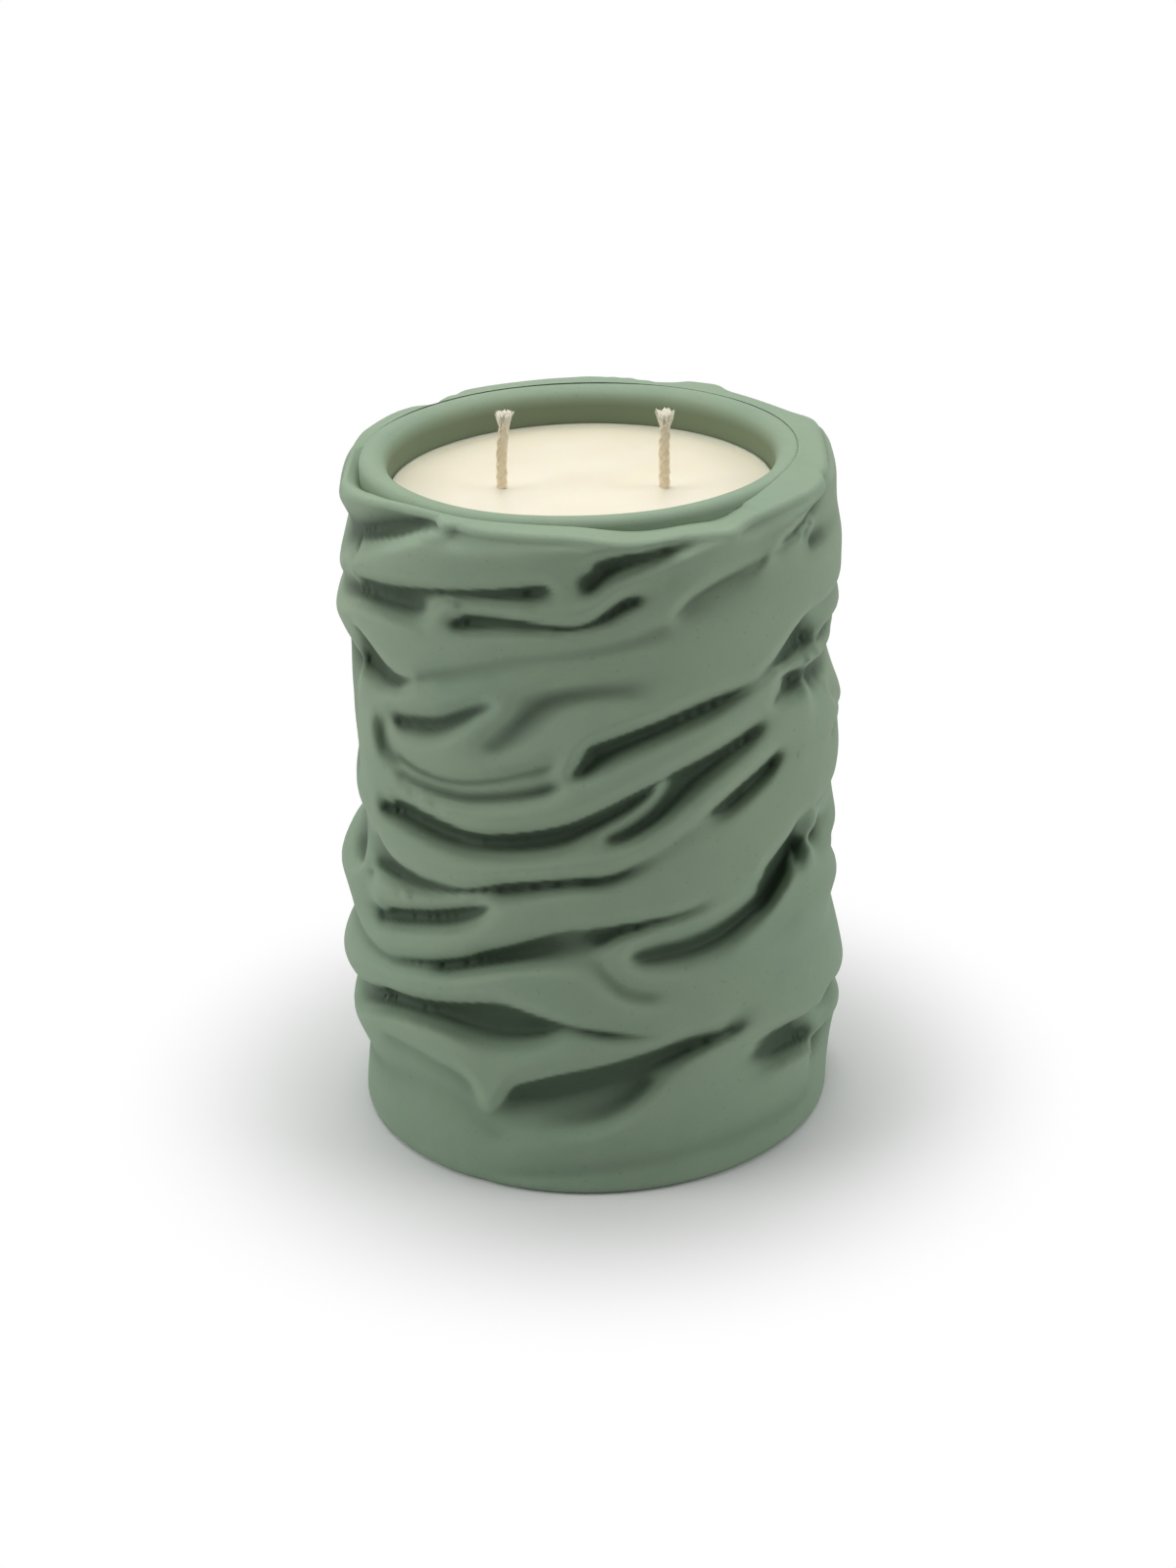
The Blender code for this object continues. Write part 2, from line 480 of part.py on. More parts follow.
# The sheet's top edge: (true angle, height below the cup's lip), and the radius it has there
TOP_EDGE = (
    (-180, 1.0), (-160, 0.8), (-146, 0.6), (-138, 1.2), (-130, 0.5), (-118, 1.6), (-100, 1.2),
    (-86, 2.2), (-78, 1.4), (-66, 0.8),
    (-50, 0.7), (-30, 0.9), (-14, 0.8), (-2, 1.0), (5, 1.8), (11, 2.6), (17, 2.8), (27, 2.6), (33, 3.2),
    (36.5, 3.8), (40, 2.6),
    (46, 1.4), (56, 0.8), (66, 1.0), (78, 1.8), (90, 1.2), (110, 0.9), (140, 0.8), (165, 0.6), (180, 1.0),
)
TOP_RADIUS = (
    (-180, 48.0), (-160, 48.0), (-147, 48.6), (-140, 47.0), (-130, 49.4), (-121, 46.6), (-108, 47.0),
    (-94, 46.0), (-84, 45.2),
    (-70, 46.4), (-55, 46.4), (-40, 46.2), (-25, 47.0), (-10, 48.2), (0, 48.0), (8, 47.4),
    (14, 46.8), (22, 47.6), (30, 47.4),
    (36, 46.4), (42, 48.6), (50, 49.8), (62, 49.6), (74, 49.2), (85, 46.6), (100, 45.4), (120, 46.0),
    (145, 47.4), (165, 48.2),
    (180, 48.0),
)


def along(values, count):
    """Values given evenly along a line, one for each of its points."""
    if np.isscalar(values):
        return np.full(count, float(values))
    if len(values) == count:
        return np.array(values, float)
    return np.interp(np.linspace(0, 1, count), np.linspace(0, 1, len(values)), values)


def near_turn(angles):
    """The same angles from -180 to 180."""
    return np.mod(np.asarray(angles) + 180.0, 360.0) - 180.0


def in_sight(values, points):
    """Values along a line of points, none deeper than the line of sight reaches near the sides."""
    angles = np.abs(near_turn([angle for angle, _ in points]))
    reached = READ_R * np.sin(np.radians(angles)) + SIGHT_MARGIN
    deepest = np.where(angles <= SEEN_TO, reached, 0)
    return np.maximum(along(values, len(points)), deepest)


def true_place(angle, height, radius):
    """Where a point read at READ_R really lies, as (angle, height), if it stands at this radius."""
    turn = np.radians(angle)
    way = (READ_R * np.sin(turn) - EYE[0], -READ_R * np.cos(turn) - EYE[1], height - EYE[2])
    a = way[0] ** 2 + way[1] ** 2
    b = EYE[0] * way[0] + EYE[1] * way[1]
    c = EYE[0] ** 2 + EYE[1] ** 2 - radius**2
    reach = (-b - np.sqrt(np.maximum(b * b - a * c, 0.0))) / a
    x, y, z = (start + step * reach for start, step in zip(EYE, way))
    return np.degrees(np.arctan2(x, -y)), z


def facing_share(angle):
    """1 where the sheet faces the viewer, falling to 0 at its sides."""
    share = np.clip((SEEN_TO - np.abs(near_turn(angle))) / (SEEN_TO - FACING_TO), 0, 1)
    return share * share * (3 - 2 * share)


def set_back(angle, height, radius):
    """Moves a place on the relief map to its place on the sheet, along the viewer's line of sight."""
    share = facing_share(angle)
    true_angle, true_height = true_place(angle, height, radius)
    return angle + share * (true_angle - angle), height + share * (true_height - height)


def map_place(angle, height, radius):
    """The place on the relief map for a point read at (angle, height): set_back turned round."""
    whole_turns = angle - near_turn(angle)
    angle = angle - whole_turns
    if abs(angle) > SEEN_TO:
        return angle + whole_turns, height
    target = true_place(angle, height, radius)
    for _ in range(12):
        reached = set_back(angle, height, radius)
        angle, height = angle + target[0] - reached[0], height + target[1] - reached[1]
    return float(angle + whole_turns), float(height)


def smooth_line(points, radii, step=0.25):
    """A Catmull-Rom curve through points of (angle, height, radius), sampled every step mm."""
    knots = np.column_stack([points, radii])
    knots = np.vstack([2 * knots[0] - knots[1], knots, 2 * knots[-1] - knots[-2]])
    pieces = []
    for p0, p1, p2, p3 in zip(knots, knots[1:], knots[2:], knots[3:]):
        length = math.hypot(math.radians(p2[0] - p1[0]) * READ_R, p2[1] - p1[1])
        t = np.linspace(0, 1, max(2, int(length / step)))[:, None]
        pieces.append(
            0.5 * (2 * p1 + (p2 - p0) * t + (2 * p0 - 5 * p1 + 4 * p2 - p3) * t**2)
            + 0.5 * (3 * p1 - p0 - 3 * p2 + p3) * t**3
        )
    return np.vstack(pieces)


ROUND_MAP = np.array([math.radians(READ_R), 1.0])
HIGHEST_R = max(np.max(radii) for radii, _ in CRESTS.values()) + 0.4


def unrolled(radius):
    """Share from 0 to 1 that rolled() turns into this radius."""
    share = (np.asarray(radius) - LOWEST_R) / (HIGHEST_R - LOWEST_R)
    return np.arcsin(np.clip(share, 0, 1)) * 2 / math.pi


def rolled(share):
    """Radius for a share from 0 to 1, so that folds come out round on top and pinched in the creases."""
    return LOWEST_R + (HIGHEST_R - LOWEST_R) * np.sin(np.clip(share, 0, 1) * math.pi / 2)


class ReliefMap:
    """The drape's outer radius and the tuck of its folds, over angle and height."""

    def __init__(self, columns, rows):
        self.columns, self.rows = columns, rows
        self.row_step = READ_HEIGHT / (rows - 1)
        self.held = np.zeros((2, columns, rows))
        self.weight = np.zeros((2, columns, rows))

    def hold(self, layer, line, values):
        """Draws a layer (0 radius, 1 tuck) to the values given along a line."""
        column, row = line[:, 0] / 360 * self.columns, line[:, 1] / self.row_step
        values = np.broadcast_to(values, len(line))
        for next_column in (0, 1):
            for next_row in (0, 1):
                c, r = np.floor(column).astype(int) + next_column, np.floor(row).astype(int) + next_row
                near = (1 - np.abs(column - c)) * (1 - np.abs(row - r))
                inside = (r >= 0) & (r < self.rows)
                at = (c[inside] % self.columns, r[inside])
                np.add.at(self.held[layer], at, (near * values)[inside])
                np.add.at(self.weight[layer], at, near[inside])

    def crest(self, radii, points, closed=False):
        radii = in_sight(radii, points)
        placed = [map_place(a, z, r) for (a, z), r in zip(points, radii)]
        line = smooth_line(placed, radii)
        self.hold(0, line, unrolled(line[:, 2]))

    def lap(self, above, below, points, closed=False):
        """A step in the sheet, whose outer side bulges over the inner one and dies out at its ends."""
        above, below = in_sight(above, points), in_sight(below, points)
        outer = np.maximum(above, below)
        placed = [map_place(a, z, r) for (a, z), r in zip(points, outer)]
        upper, lower = smooth_line(placed, above), smooth_line(placed, below)
        run = np.gradient(upper[:, :2] * ROUND_MAP, axis=0)
        run /= np.maximum(np.hypot(run[:, 0], run[:, 1]), 1e-9)[:, None]
        across = np.column_stack([-run[:, 1], run[:, 0]]) * np.sign(run[:, :1] + 1e-9) / ROUND_MAP
        if not closed:
            length = np.append(0, np.cumsum(np.hypot(*(np.diff(upper[:, :2], axis=0) * ROUND_MAP).T)))
            open_share = np.clip(np.minimum(length, length[-1] - length) / LAP_ENDS, 0, 1)
            lower[:, 2] = upper[:, 2] + (lower[:, 2] - upper[:, 2]) * np.sin(open_share * math.pi / 2)
        rise = upper[:, 2] - lower[:, 2]
        tuck = TUCK * (2 - facing_share(upper[:, 0])) * np.clip(rise / 5, -1, 1) * np.abs(run[:, 0])
        for side, line, amount in ((1, upper, -tuck), (-1, lower, 0.5 * tuck)):
            moved = line.copy()
            moved[:, :2] += side * LIP_STEP * across
            inset = 0.5 if side * np.sign(rise.mean()) > 0 else 0.0
            self.hold(0, moved, unrolled(line[:, 2] - inset))
            self.hold(1, moved, amount)
            if side * np.sign(rise.mean()) > 0:
                moved = line.copy()
                moved[:, :2] += side * 3 * LIP_STEP * across
                self.hold(0, moved, unrolled(line[:, 2]))
                self.hold(1, moved, 0.5 * amount)

    def relax(self, layer, level, leak, passes):
        """Spreads the held values over the rest of the grid, like a film stretched over wires."""
        weight = self.weight[layer]
        target = self.held[layer] / np.maximum(weight, 1e-9)
        pull = STIFF * np.minimum(weight, 1) ** 2
        values = np.where(weight > 0, target, level)
        for stride, count in zip((8, 4, 2, 1), passes):
            for _ in range(count):
                around = np.roll(values, stride, 0) + np.roll(values, -stride, 0)
                padded = np.pad(values, ((0, 0), (stride, stride)), mode="edge")
                spread = (around + padded[:, : -2 * stride] + padded[:, 2 * stride :]) / 4
                spread = level + (spread - level) * leak ** (stride * stride)
                values = (spread + pull * target) / (1 + pull)
        return values


def blurred(values, sigma_mm):
    """Gaussian blur that runs round the columns and stops at the ends of the rows."""
    sigma_columns = sigma_mm / (2 * math.pi * READ_R / values.shape[0])
    sigma_rows = sigma_mm / (READ_HEIGHT / (values.shape[1] - 1))
    reach = math.ceil(2.5 * max(sigma_columns, sigma_rows))
    for axis, sigma in ((0, sigma_columns), (1, sigma_rows)):
        total, weights = 0, 0
        for shift in range(-reach, reach + 1):
            weight = math.exp(-0.5 * (shift / sigma) ** 2)
            if axis == 0:
                moved = np.roll(values, shift, 0)
            else:
                padded = np.pad(values, ((0, 0), (reach, reach)), mode="edge")
                moved = padded[:, reach + shift : reach + shift + values.shape[1]]
            total, weights = total + weight * moved, weights + weight
        values = total / weights
    return values


def round_table(table, angles):
    """Values of a (true angle, value) table at these angles, smoothly and without a seam."""
    knots, values = np.array(table).T
    fine = np.interp(np.arange(-180, 180, 0.5), knots, values)
    kernel = np.exp(-0.5 * (np.arange(-8, 9) / 3.0) ** 2)
    wrapped = np.concatenate([fine[-8:], fine, fine[:8]])
    fine = np.convolve(wrapped, kernel / kernel.sum(), mode="valid")
    return np.interp(np.mod(angles + 180, 360), np.arange(0, 360.5, 0.5), np.append(fine, fine[0]))


def all_round(kind, name, *lines):
    """A front fold with its mirrored run round the back, joined where it crosses a side.

    Returns the pieces to draw, each as its lines of radii, its points and whether it closes on itself.
    """
    *radii, points = lines
    front = np.column_stack([*(along(values, len(points)) for values in radii), points])
    kept = front[np.abs(front[:, -2]) <= BACK_REACH]
    if name in NOT_BEHIND or len(kept) < 2:
        return [(*front[:, :-2].T, front[:, -2:], False)]
    back = kept[::-1].copy()
    back[:, -1] += BACK_SWAY * np.sin(np.radians(BACK_SWAY_TURN * back[:, -2] + BACK_SWAY_FROM))
    back[:, -2] = 180 - BACK_SPREAD * back[:, -2]
    again = front.copy()
    again[:, -2] += 360
    right, left = (SIDES[side][kind].get(name) for side in ("right", "left"))
    across = []
    for join, start, end in ((right, front, back), (left, back, again)):
        if join:
            across.append(np.array([[*join[1:], (start[-1, -2] + end[0, -2]) / 2, join[0]]]))
        else:
            across.append(None)
    if right and left:
        runs = [np.vstack([front, across[0], back, across[1], again[:2]])]
    elif right:
        runs = [np.vstack([front, across[0], back])]
    elif left:
        runs = [np.vstack([back, across[1], again])]
    else:
        runs = [front, back]
    return [(*run[:, :-2].T, run[:, -2:], bool(right and left)) for run in runs]


def drape_relief():
    """The relief map as two grids over angle and height: thickness over the cup, and tuck."""
    relief = ReliefMap(MAP_COLUMNS, MAP_ROWS)
    valleys = {}
    for name, (radii, points) in VALLEYS.items():
        deeper = CREASE_FROM_R - CREASE_DEEPEN * (CREASE_FROM_R - along(radii, len(points)))
        valleys[name] = (np.maximum(deeper, LOWEST_R), points)
    for kind, lines in (("crests", CRESTS), ("valleys", valleys), ("laps", LAPS)):
        draw = relief.lap if kind == "laps" else relief.crest
        for name, line in lines.items():
            for piece in all_round(kind, name, *line):
                draw(*piece)
    round_back = np.arange(-180, 180, 0.3)
    top = READ_HEIGHT - round_table(TOP_EDGE, round_back)
    rim = round_table(TOP_RADIUS, round_back)
    relief.hold(0, np.column_stack([round_back, top]), unrolled(rim))
    relief.hold(0, np.column_stack([round_back, np.full(len(round_back), READ_HEIGHT)]), unrolled(rim))
    for height in (0.0, 2.0):
        ring = np.column_stack([round_back, np.full(len(round_back), height)])
        relief.hold(0, ring, unrolled(READ_FOOT_R))
    radius = rolled(relief.relax(0, float(unrolled(READ_FOOT_R)), 1.0, (60, 80, 150, 400)))
    tuck = relief.relax(1, 0.0, 0.95, (0, 0, 30, 60))
    laps = blurred(np.minimum(relief.weight[1], 1.0), CRISP_REACH)
    soft = 1 - np.clip(4 * laps, 0, 1)
    radius = (1 - soft) * blurred(radius, 0.45) + soft * blurred(radius, SOFT_BLUR)
    tuck = blurred(tuck, 0.7)
    return np.maximum(radius - READ_INNER_R, DRAPE_THINNEST), tuck


def sampled(grid, angles, heights):
    """Bilinear values of a relief grid at angles (degrees) and heights (mm on the read scale)."""
    column = np.mod(angles / 360 * grid.shape[0], grid.shape[0])
    row = np.clip(heights / READ_HEIGHT * (grid.shape[1] - 1), 0, grid.shape[1] - 1.001)
    c0, r0 = column.astype(int), row.astype(int)
    fc, fr = column - c0, row - r0
    c1 = (c0 + 1) % grid.shape[0]
    low = grid[c0, r0] * (1 - fc) + grid[c1, r0] * fc
    high = grid[c0, r0 + 1] * (1 - fc) + grid[c1, r0 + 1] * fc
    return low * (1 - fr) + high * fr


def drape_skin(columns, rows):
    """Rings of points up the drape's outer surface and over its top edge, as (ring, column, xyz)."""
    thickness, tuck = drape_relief()
    angles = np.arange(columns) * 360.0 / columns - 180.0
    top = READ_HEIGHT - round_table(TOP_EDGE, angles) - EDGE_ROUND
    foot = DRAPE_FOOT_THICK / (READ_FOOT_R - READ_INNER_R)
    rings = []
    for share in np.linspace(0, 1, rows):
        height = share * top
        fade = np.clip(np.minimum(height / FOOT_FADE, (top - height) / EDGE_FADE), 0, 1)
        thick = sampled(thickness, angles, height)
        angle, place = set_back(angles, height, READ_INNER_R + thick)
        place = place + sampled(tuck, angles, height)
        turned_by = fade * (angle - angles)
        rings.append((DRAPE_INNER_R + foot * thick, angles + turned_by, height + fade * (place - height)))
    outer = rings[-1][0]
    for turn in (25, 50, 75, 90):
        bend = math.radians(turn)
        rings.append((outer - EDGE_ROUND * (1 - math.cos(bend)), angles, top + EDGE_ROUND * math.sin(bend)))
    rings.append((np.full(columns, DRAPE_INNER_R - 2.0), angles, top + EDGE_ROUND))
    raised = CUP_HEIGHT / READ_HEIGHT
    return np.array([
        np.column_stack([r * np.sin(np.radians(a)), -r * np.cos(np.radians(a)), z * raised])
        for r, a, z in rings
    ])


def new_object(name, mesh_build):
    """A mesh object made by mesh_build(bm), in the scene and shaded smooth."""
    mesh = bpy.data.meshes.new(name)
    bm = bmesh.new()
    mesh_build(bm)
    bmesh.ops.scale(bm, vec=(MM, MM, MM), verts=bm.verts)
    bmesh.ops.recalc_face_normals(bm, faces=bm.faces)
    bm.to_mesh(mesh)
    bm.free()
    obj = bpy.data.objects.new(name, mesh)
    bpy.context.scene.collection.objects.link(obj)
    return obj


def bridge_rings(bm, rings, closed_ends=True):
    """Quads between rings of points, with a flat face on each end or the last ring joined to the first."""
    rows = [[bm.verts.new(point) for point in ring] for ring in rings]
    pairs = list(zip(rows, rows[1:]))
    if closed_ends:
        bm.faces.new(rows[0][::-1])
        bm.faces.new(rows[-1])
    else:
        pairs.append((rows[-1], rows[0]))
    for low, high in pairs:
        for i in range(len(low)):
            j = (i + 1) % len(low)
            bm.faces.new((low[i], low[j], high[j], high[i]))


def turned(profile, segments, centre=(0.0, 0.0), closed_ends=True):
    """Builds a turned body about a vertical axis from (radius, height) points."""
    sweep = np.arange(segments) * 2 * math.pi / segments

    def build(bm):
        rings = [
            [(centre[0] + r * math.sin(t), centre[1] - r * math.cos(t), z) for t in sweep]
            for r, z in profile
        ]
        bridge_rings(bm, rings, closed_ends)

    return build


def arc(centre, radius, start, end, steps):
    """Points of a profile along an arc, with angles in degrees from the outward direction."""
    return [
        (centre[0] + radius * math.cos(math.radians(a)), centre[1] + radius * math.sin(math.radians(a)))
        for a in np.linspace(start, end, steps)
    ]


def material(name, colour, roughness, metallic=0.0, **more):
    mat = bpy.data.materials.new(name)
    mat.use_nodes = True
    shader = mat.node_tree.nodes["Principled BSDF"]
    shader.inputs["Base Color"].default_value = (*colour, 1.0)
    shader.inputs["Roughness"].default_value = roughness
    shader.inputs["Metallic"].default_value = metallic
    for key, value in more.items():
        shader.inputs[key.replace("_", " ").title()].default_value = value
    mat.diffuse_color = (*colour, 1.0)
    return mat


def smooth(obj, degrees):
    for polygon in obj.data.polygons:
        polygon.use_smooth = True
    obj.data.set_sharp_from_angle(angle=math.radians(degrees))


def make_cup():
    """Turned cup with a rounded lip, an open well and a flat underside."""
    outer, inner, well = LIP_OUTER_ROUND, LIP_INNER_ROUND, WELL_CORNER_ROUND
    profile = [(2.0, 0.0)]
    profile += arc((CUP_OUTER_R - FOOT_ROUND, FOOT_ROUND), FOOT_ROUND, -90, 0, 3)
    profile += arc((CUP_OUTER_R - outer, CUP_HEIGHT - outer), outer, 0, 90, 5)
    profile += arc((CUP_INNER_R + inner, CUP_HEIGHT - inner), inner, 90, 180, 5)
    profile += arc((CUP_INNER_R - well, CUP_FLOOR + well), well, 0, -90, 4)
    profile.append((2.0, CUP_FLOOR))
    return new_object("cup", turned(profile, BORE_SEGMENTS))


def cutter(name, build):
    obj = new_object(name, build)
    obj.hide_render = True
    obj.hide_viewport = True
    return obj


def cut(obj, tool):
    change = obj.modifiers.new(f"cut {tool.name}", "BOOLEAN")
    change.operation = "DIFFERENCE"
    change.solver = "EXACT"
    change.object = tool


def make_drape():
    """The folded sheet: its outer surface thinned to few triangles, then bored to slip over the cup."""
    skin = drape_skin(FINE_COLUMNS, FINE_ROWS)
    obj = new_object("drape", lambda bm: bridge_rings(bm, skin))
    thin = obj.modifiers.new("thin", "DECIMATE")
    thin.ratio = DRAPE_TRIANGLES / (2 * FINE_COLUMNS * len(skin))
    bore = cutter(
        "drape_bore", turned([(DRAPE_INNER_R, -5.0), (DRAPE_INNER_R, CUP_HEIGHT + 5.0)], BORE_SEGMENTS)
    )
    cut(obj, bore)
    return obj


def make_wax():
    """Poured wax, slightly climbing at the wall, with room for the wicks and their clips."""
    well = WELL_CORNER_ROUND
    profile = [(2.0, WAX_BOTTOM)]
    profile += arc((WAX_R - well, WAX_BOTTOM + well), well, -90, 0, 4)
    for share in (0.0, 0.4, 1.0):
        profile.append((WAX_R - 0.02 - share * MENISCUS_WIDTH, WAX_TOP + MENISCUS_RISE * (1 - share) ** 2))
    profile.append((2.0, WAX_TOP))
    obj = new_object("wax", turned(profile, BORE_SEGMENTS))
    for side, site in WICK_SITES.items():
        pocket = [
            (WAX_POCKET_R, CUP_FLOOR - 2.0), (WAX_POCKET_R, WAX_POCKET_TOP),
            (WAX_NECK_POCKET_R, WAX_POCKET_TOP), (WAX_NECK_POCKET_R, WAX_NECK_POCKET_TOP),
            (WAX_BORE_R, WAX_NECK_POCKET_TOP), (WAX_BORE_R, WAX_TOP + 3.0),
        ]
        cut(obj, cutter(f"wax_pocket_{side}", turned(pocket, 16, site)))
    return obj


def make_wick(side, site):
    """Round braided wick with a splayed, trimmed tip."""
    lean = WICK_LEAN[side]
    stations = [(WICK_BOTTOM, 1.0, 0.0)]
    for share, wide, bend in WICK_STATIONS:
        stations.append((WAX_TOP + share * WICK_ABOVE_WAX, wide, bend))
    sweep = np.arange(12) * math.pi / 6

    def build(bm):
        rings = []
        for z, wide, bend in stations:
            x, y, r = site[0] + lean * bend, site[1], WICK_R * wide
            rings.append([(x + r * math.sin(t), y - r * math.cos(t), z) for t in sweep])
        bridge_rings(bm, rings)

    return new_object(f"wick_{side}", build)


def make_clip(side, site):
    """Stamped wick clip: a thin disc with a crimped neck that the wick passes through."""
    bottom, top = CLIP_BOTTOM, CLIP_BOTTOM + CLIP_NECK_HEIGHT
    plate = CLIP_BOTTOM + CLIP_THICK
    profile = [
        (CLIP_NECK_BORE_R, bottom), (CLIP_R, bottom), (CLIP_R, plate), (CLIP_NECK_R, plate),
        (CLIP_NECK_R, top), (CLIP_NECK_BORE_R, top),
    ]
    return new_object(f"wick_clip_{side}", turned(profile, 24, site, closed_ends=False))


def make_sticker(side, site):
    bottom = CUP_FLOOR + GAP
    profile = [(STICKER_R, bottom), (STICKER_R, bottom + STICKER_THICK)]
    return new_object(f"wick_sticker_{side}", turned(profile, 24, site))


def main():
    for obj in list(bpy.data.objects):
        bpy.data.objects.remove(obj)
    sage = (0.235, 0.305, 0.225)
    glaze = material("cup_sage", sage, 0.55)
    cloth = material("drape_sage", sage, 0.55)
    cream = material("wax_cream", (0.86, 0.78, 0.62), 0.45, subsurface_weight=0.3)
    cotton = material("wick_cotton", (0.70, 0.60, 0.42), 0.9)
    tin = material("clip_tin", (0.62, 0.62, 0.60), 0.3, metallic=1.0)
    foam = material("sticker_foam", (0.80, 0.80, 0.78), 0.8)
    made = [(make_cup(), glaze, 35), (make_drape(), cloth, 60), (make_wax(), cream, 35)]
    for side, site in WICK_SITES.items():
        made.append((make_wick(side, site), cotton, 50))
        made.append((make_clip(side, site), tin, 30))
        made.append((make_sticker(side, site), foam, 30))
    for obj, mat, angle in made:
        obj.data.materials.append(mat)
        smooth(obj, angle)


main()
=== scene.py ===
"""A scented candle: a sage cup of cream wax with two wicks, wrapped in a sheet of draped folds.

Blender 4.5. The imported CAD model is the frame; sizes below are in millimetres unless they say otherwise.
"""

import math
import random
from functools import partialmethod

import bmesh
import bpy
import numpy as np
from mathutils import Matrix, Vector

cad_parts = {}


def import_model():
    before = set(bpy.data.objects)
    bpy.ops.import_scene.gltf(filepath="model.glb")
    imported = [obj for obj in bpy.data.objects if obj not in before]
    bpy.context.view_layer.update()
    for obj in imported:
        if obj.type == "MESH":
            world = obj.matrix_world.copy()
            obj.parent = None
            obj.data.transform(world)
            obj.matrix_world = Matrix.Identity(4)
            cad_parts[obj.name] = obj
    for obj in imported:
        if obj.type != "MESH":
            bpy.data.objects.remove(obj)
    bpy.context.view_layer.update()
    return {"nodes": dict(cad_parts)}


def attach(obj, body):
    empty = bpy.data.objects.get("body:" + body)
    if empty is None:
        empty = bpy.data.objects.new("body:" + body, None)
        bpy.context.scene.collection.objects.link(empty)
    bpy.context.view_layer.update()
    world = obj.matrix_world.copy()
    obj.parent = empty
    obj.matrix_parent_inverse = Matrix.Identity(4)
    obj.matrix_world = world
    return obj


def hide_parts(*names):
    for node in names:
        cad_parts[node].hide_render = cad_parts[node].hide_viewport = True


MM = 0.001

# Cup
CUP_HEIGHT = 140.0
CUP_INNER_R = 37.8
CUP_WALL = 5.4
CUP_OUTER_R = CUP_INNER_R + CUP_WALL
CUP_FLOOR = 8.0
LIP_OUTER_ROUND = 1.7
LIP_INNER_ROUND = 3.0
WELL_CORNER_ROUND = 4.0
FOOT_ROUND = 0.8

GAP = 0.3

# Wax
WAX_BELOW_LIP = 7.9
WAX_TOP = CUP_HEIGHT - WAX_BELOW_LIP
WAX_R = CUP_INNER_R - GAP
WAX_BOTTOM = CUP_FLOOR + GAP
MENISCUS_RISE = 0.5
MENISCUS_WIDTH = 2.5

# Wicks, each on a metal clip that an adhesive disc holds to the cup floor
WICK_R = 1.07
WICK_ABOVE_WAX = 15.9
WICK_LEAN = {"left": 1.0, "right": 0.3}
# Share of the height above the wax, and of the whole lean there
WICK_STATIONS = ((0.06, 0.0), (0.31, 0.02), (0.57, 0.3), (0.77, 0.75), (0.89, 0.95), (0.98, 1.0), (1.0, 1.0))
WICK_SITES = {"left": (-15.5, -1.4), "right": (16.1, -3.4)}
BRAID_STRANDS = 8
BRAID_R = 0.84
BRAID_STRAND_R = 0.27
BRAID_PITCH = 7.2
BRAID_BELOW_TIP = 2.6
CORE_R = 0.90
FRAYED_HAIRS = 150
STICKER_THICK = 1.0
CLIP_THICK = 0.6
CLIP_BOTTOM = CUP_FLOOR + GAP + STICKER_THICK + GAP
WICK_BOTTOM = CLIP_BOTTOM + CLIP_THICK + GAP

# Drape
DRAPE_INNER_R = CUP_OUTER_R + GAP
DRAPE_THINNEST = 0.9
DRAPE_FOOT_THICK = 5.0

# The folds were read off a photo, as they seem to lie on a cylinder of READ_R seen from EYE.
# A fold that stands at another radius lies elsewhere on the same line of sight.
READ_R = 49.0
READ_HEIGHT = 140.0
READ_INNER_R = 43.5
READ_FOOT_R = 48.5
EYE = (0.0, -578.6, 330.1)
FACING_TO = 40.0
SEEN_TO = 74.0
SIGHT_MARGIN = 1.3

# Grid that the relief is worked out on
MAP_COLUMNS = 540
MAP_ROWS = 400
LIP_STEP = 0.5
LAP_ENDS = 2.5
EDGE_ROUND = 1.4
EDGE_FADE = 3.0
FOOT_FADE = 6.0
TUCK = 1.3
STIFF = 30.0
CRISP_REACH = 1.6
SOFT_BLUR = 0.75
CREASE_FROM_R = 49.9
CREASE_DEEPEN = 1.55
LOWEST_R = READ_INNER_R + 0.8

# Colours, linear
SAGE = (0.270, 0.362, 0.250)
SAGE_COOL = (0.240, 0.346, 0.245)
SAGE_WARM = (0.292, 0.376, 0.266)
SAGE_PALE = (0.345, 0.430, 0.320)
SAGE_SPECK = (0.170, 0.235, 0.158)
SAGE_FOOT = (0.215, 0.325, 0.222)
# Painted shade down the cup's inner wall
SAGE_WELL_SHADE = (0.130, 0.160, 0.085)
# Painted shade in the drape's creases: its colour, and the most of it mixed in
SAGE_CREASE_SHADE = (0.020, 0.038, 0.020)
CREASE_SHADE_MOST = 0.80
# How far the painted highlight on the drape's crests pulls the colour toward SAGE_PALE
CREST_HIGHLIGHT_MOST = 0.22
CREAM = (0.90, 0.84, 0.69)
CREAM_WARM = (0.87, 0.79, 0.61)
CREAM_PALE = (0.92, 0.88, 0.76)
# Painted shade on the wax towards the cup wall
CREAM_WALL_SHADE = (0.70, 0.655, 0.49)
COTTON = (0.92, 0.85, 0.67)
COTTON_PALE = (0.93, 0.90, 0.78)
COTTON_WAXED = (0.88, 0.75, 0.53)
COTTON_SHADE = (0.66, 0.57, 0.40)
COTTON_FRAYED = (1.0, 0.96, 0.84)

# Light: world strength on the object, floor tone, glow and the ring where it clears to white, and
# lamps (name, place in metres, size, watts)
WORLD_LIGHT = 0.05
FLOOR_LIT = 0.86
FLOOR_GLOW = 0.02
FLOOR_SHADE_FROM = 50.0
FLOOR_SHADE_TO = 105.0
LIGHTS = (
    ("top_softbox", (-0.03, 0.17, 0.90), 0.9, 6.0),
    ("left_softbox", (-0.75, -0.22, 0.50), 0.6, 2.9),
    ("right_softbox", (0.78, -0.22, 0.50), 0.6, 2.7),
)

# Camera, in metres and degrees
CAMERA_AT = (-0.000253, -0.578568, 0.330082)
CAMERA_DIP = 24.3776
CAMERA_ROLL = -1.4658
CAMERA_LENS = 71.54

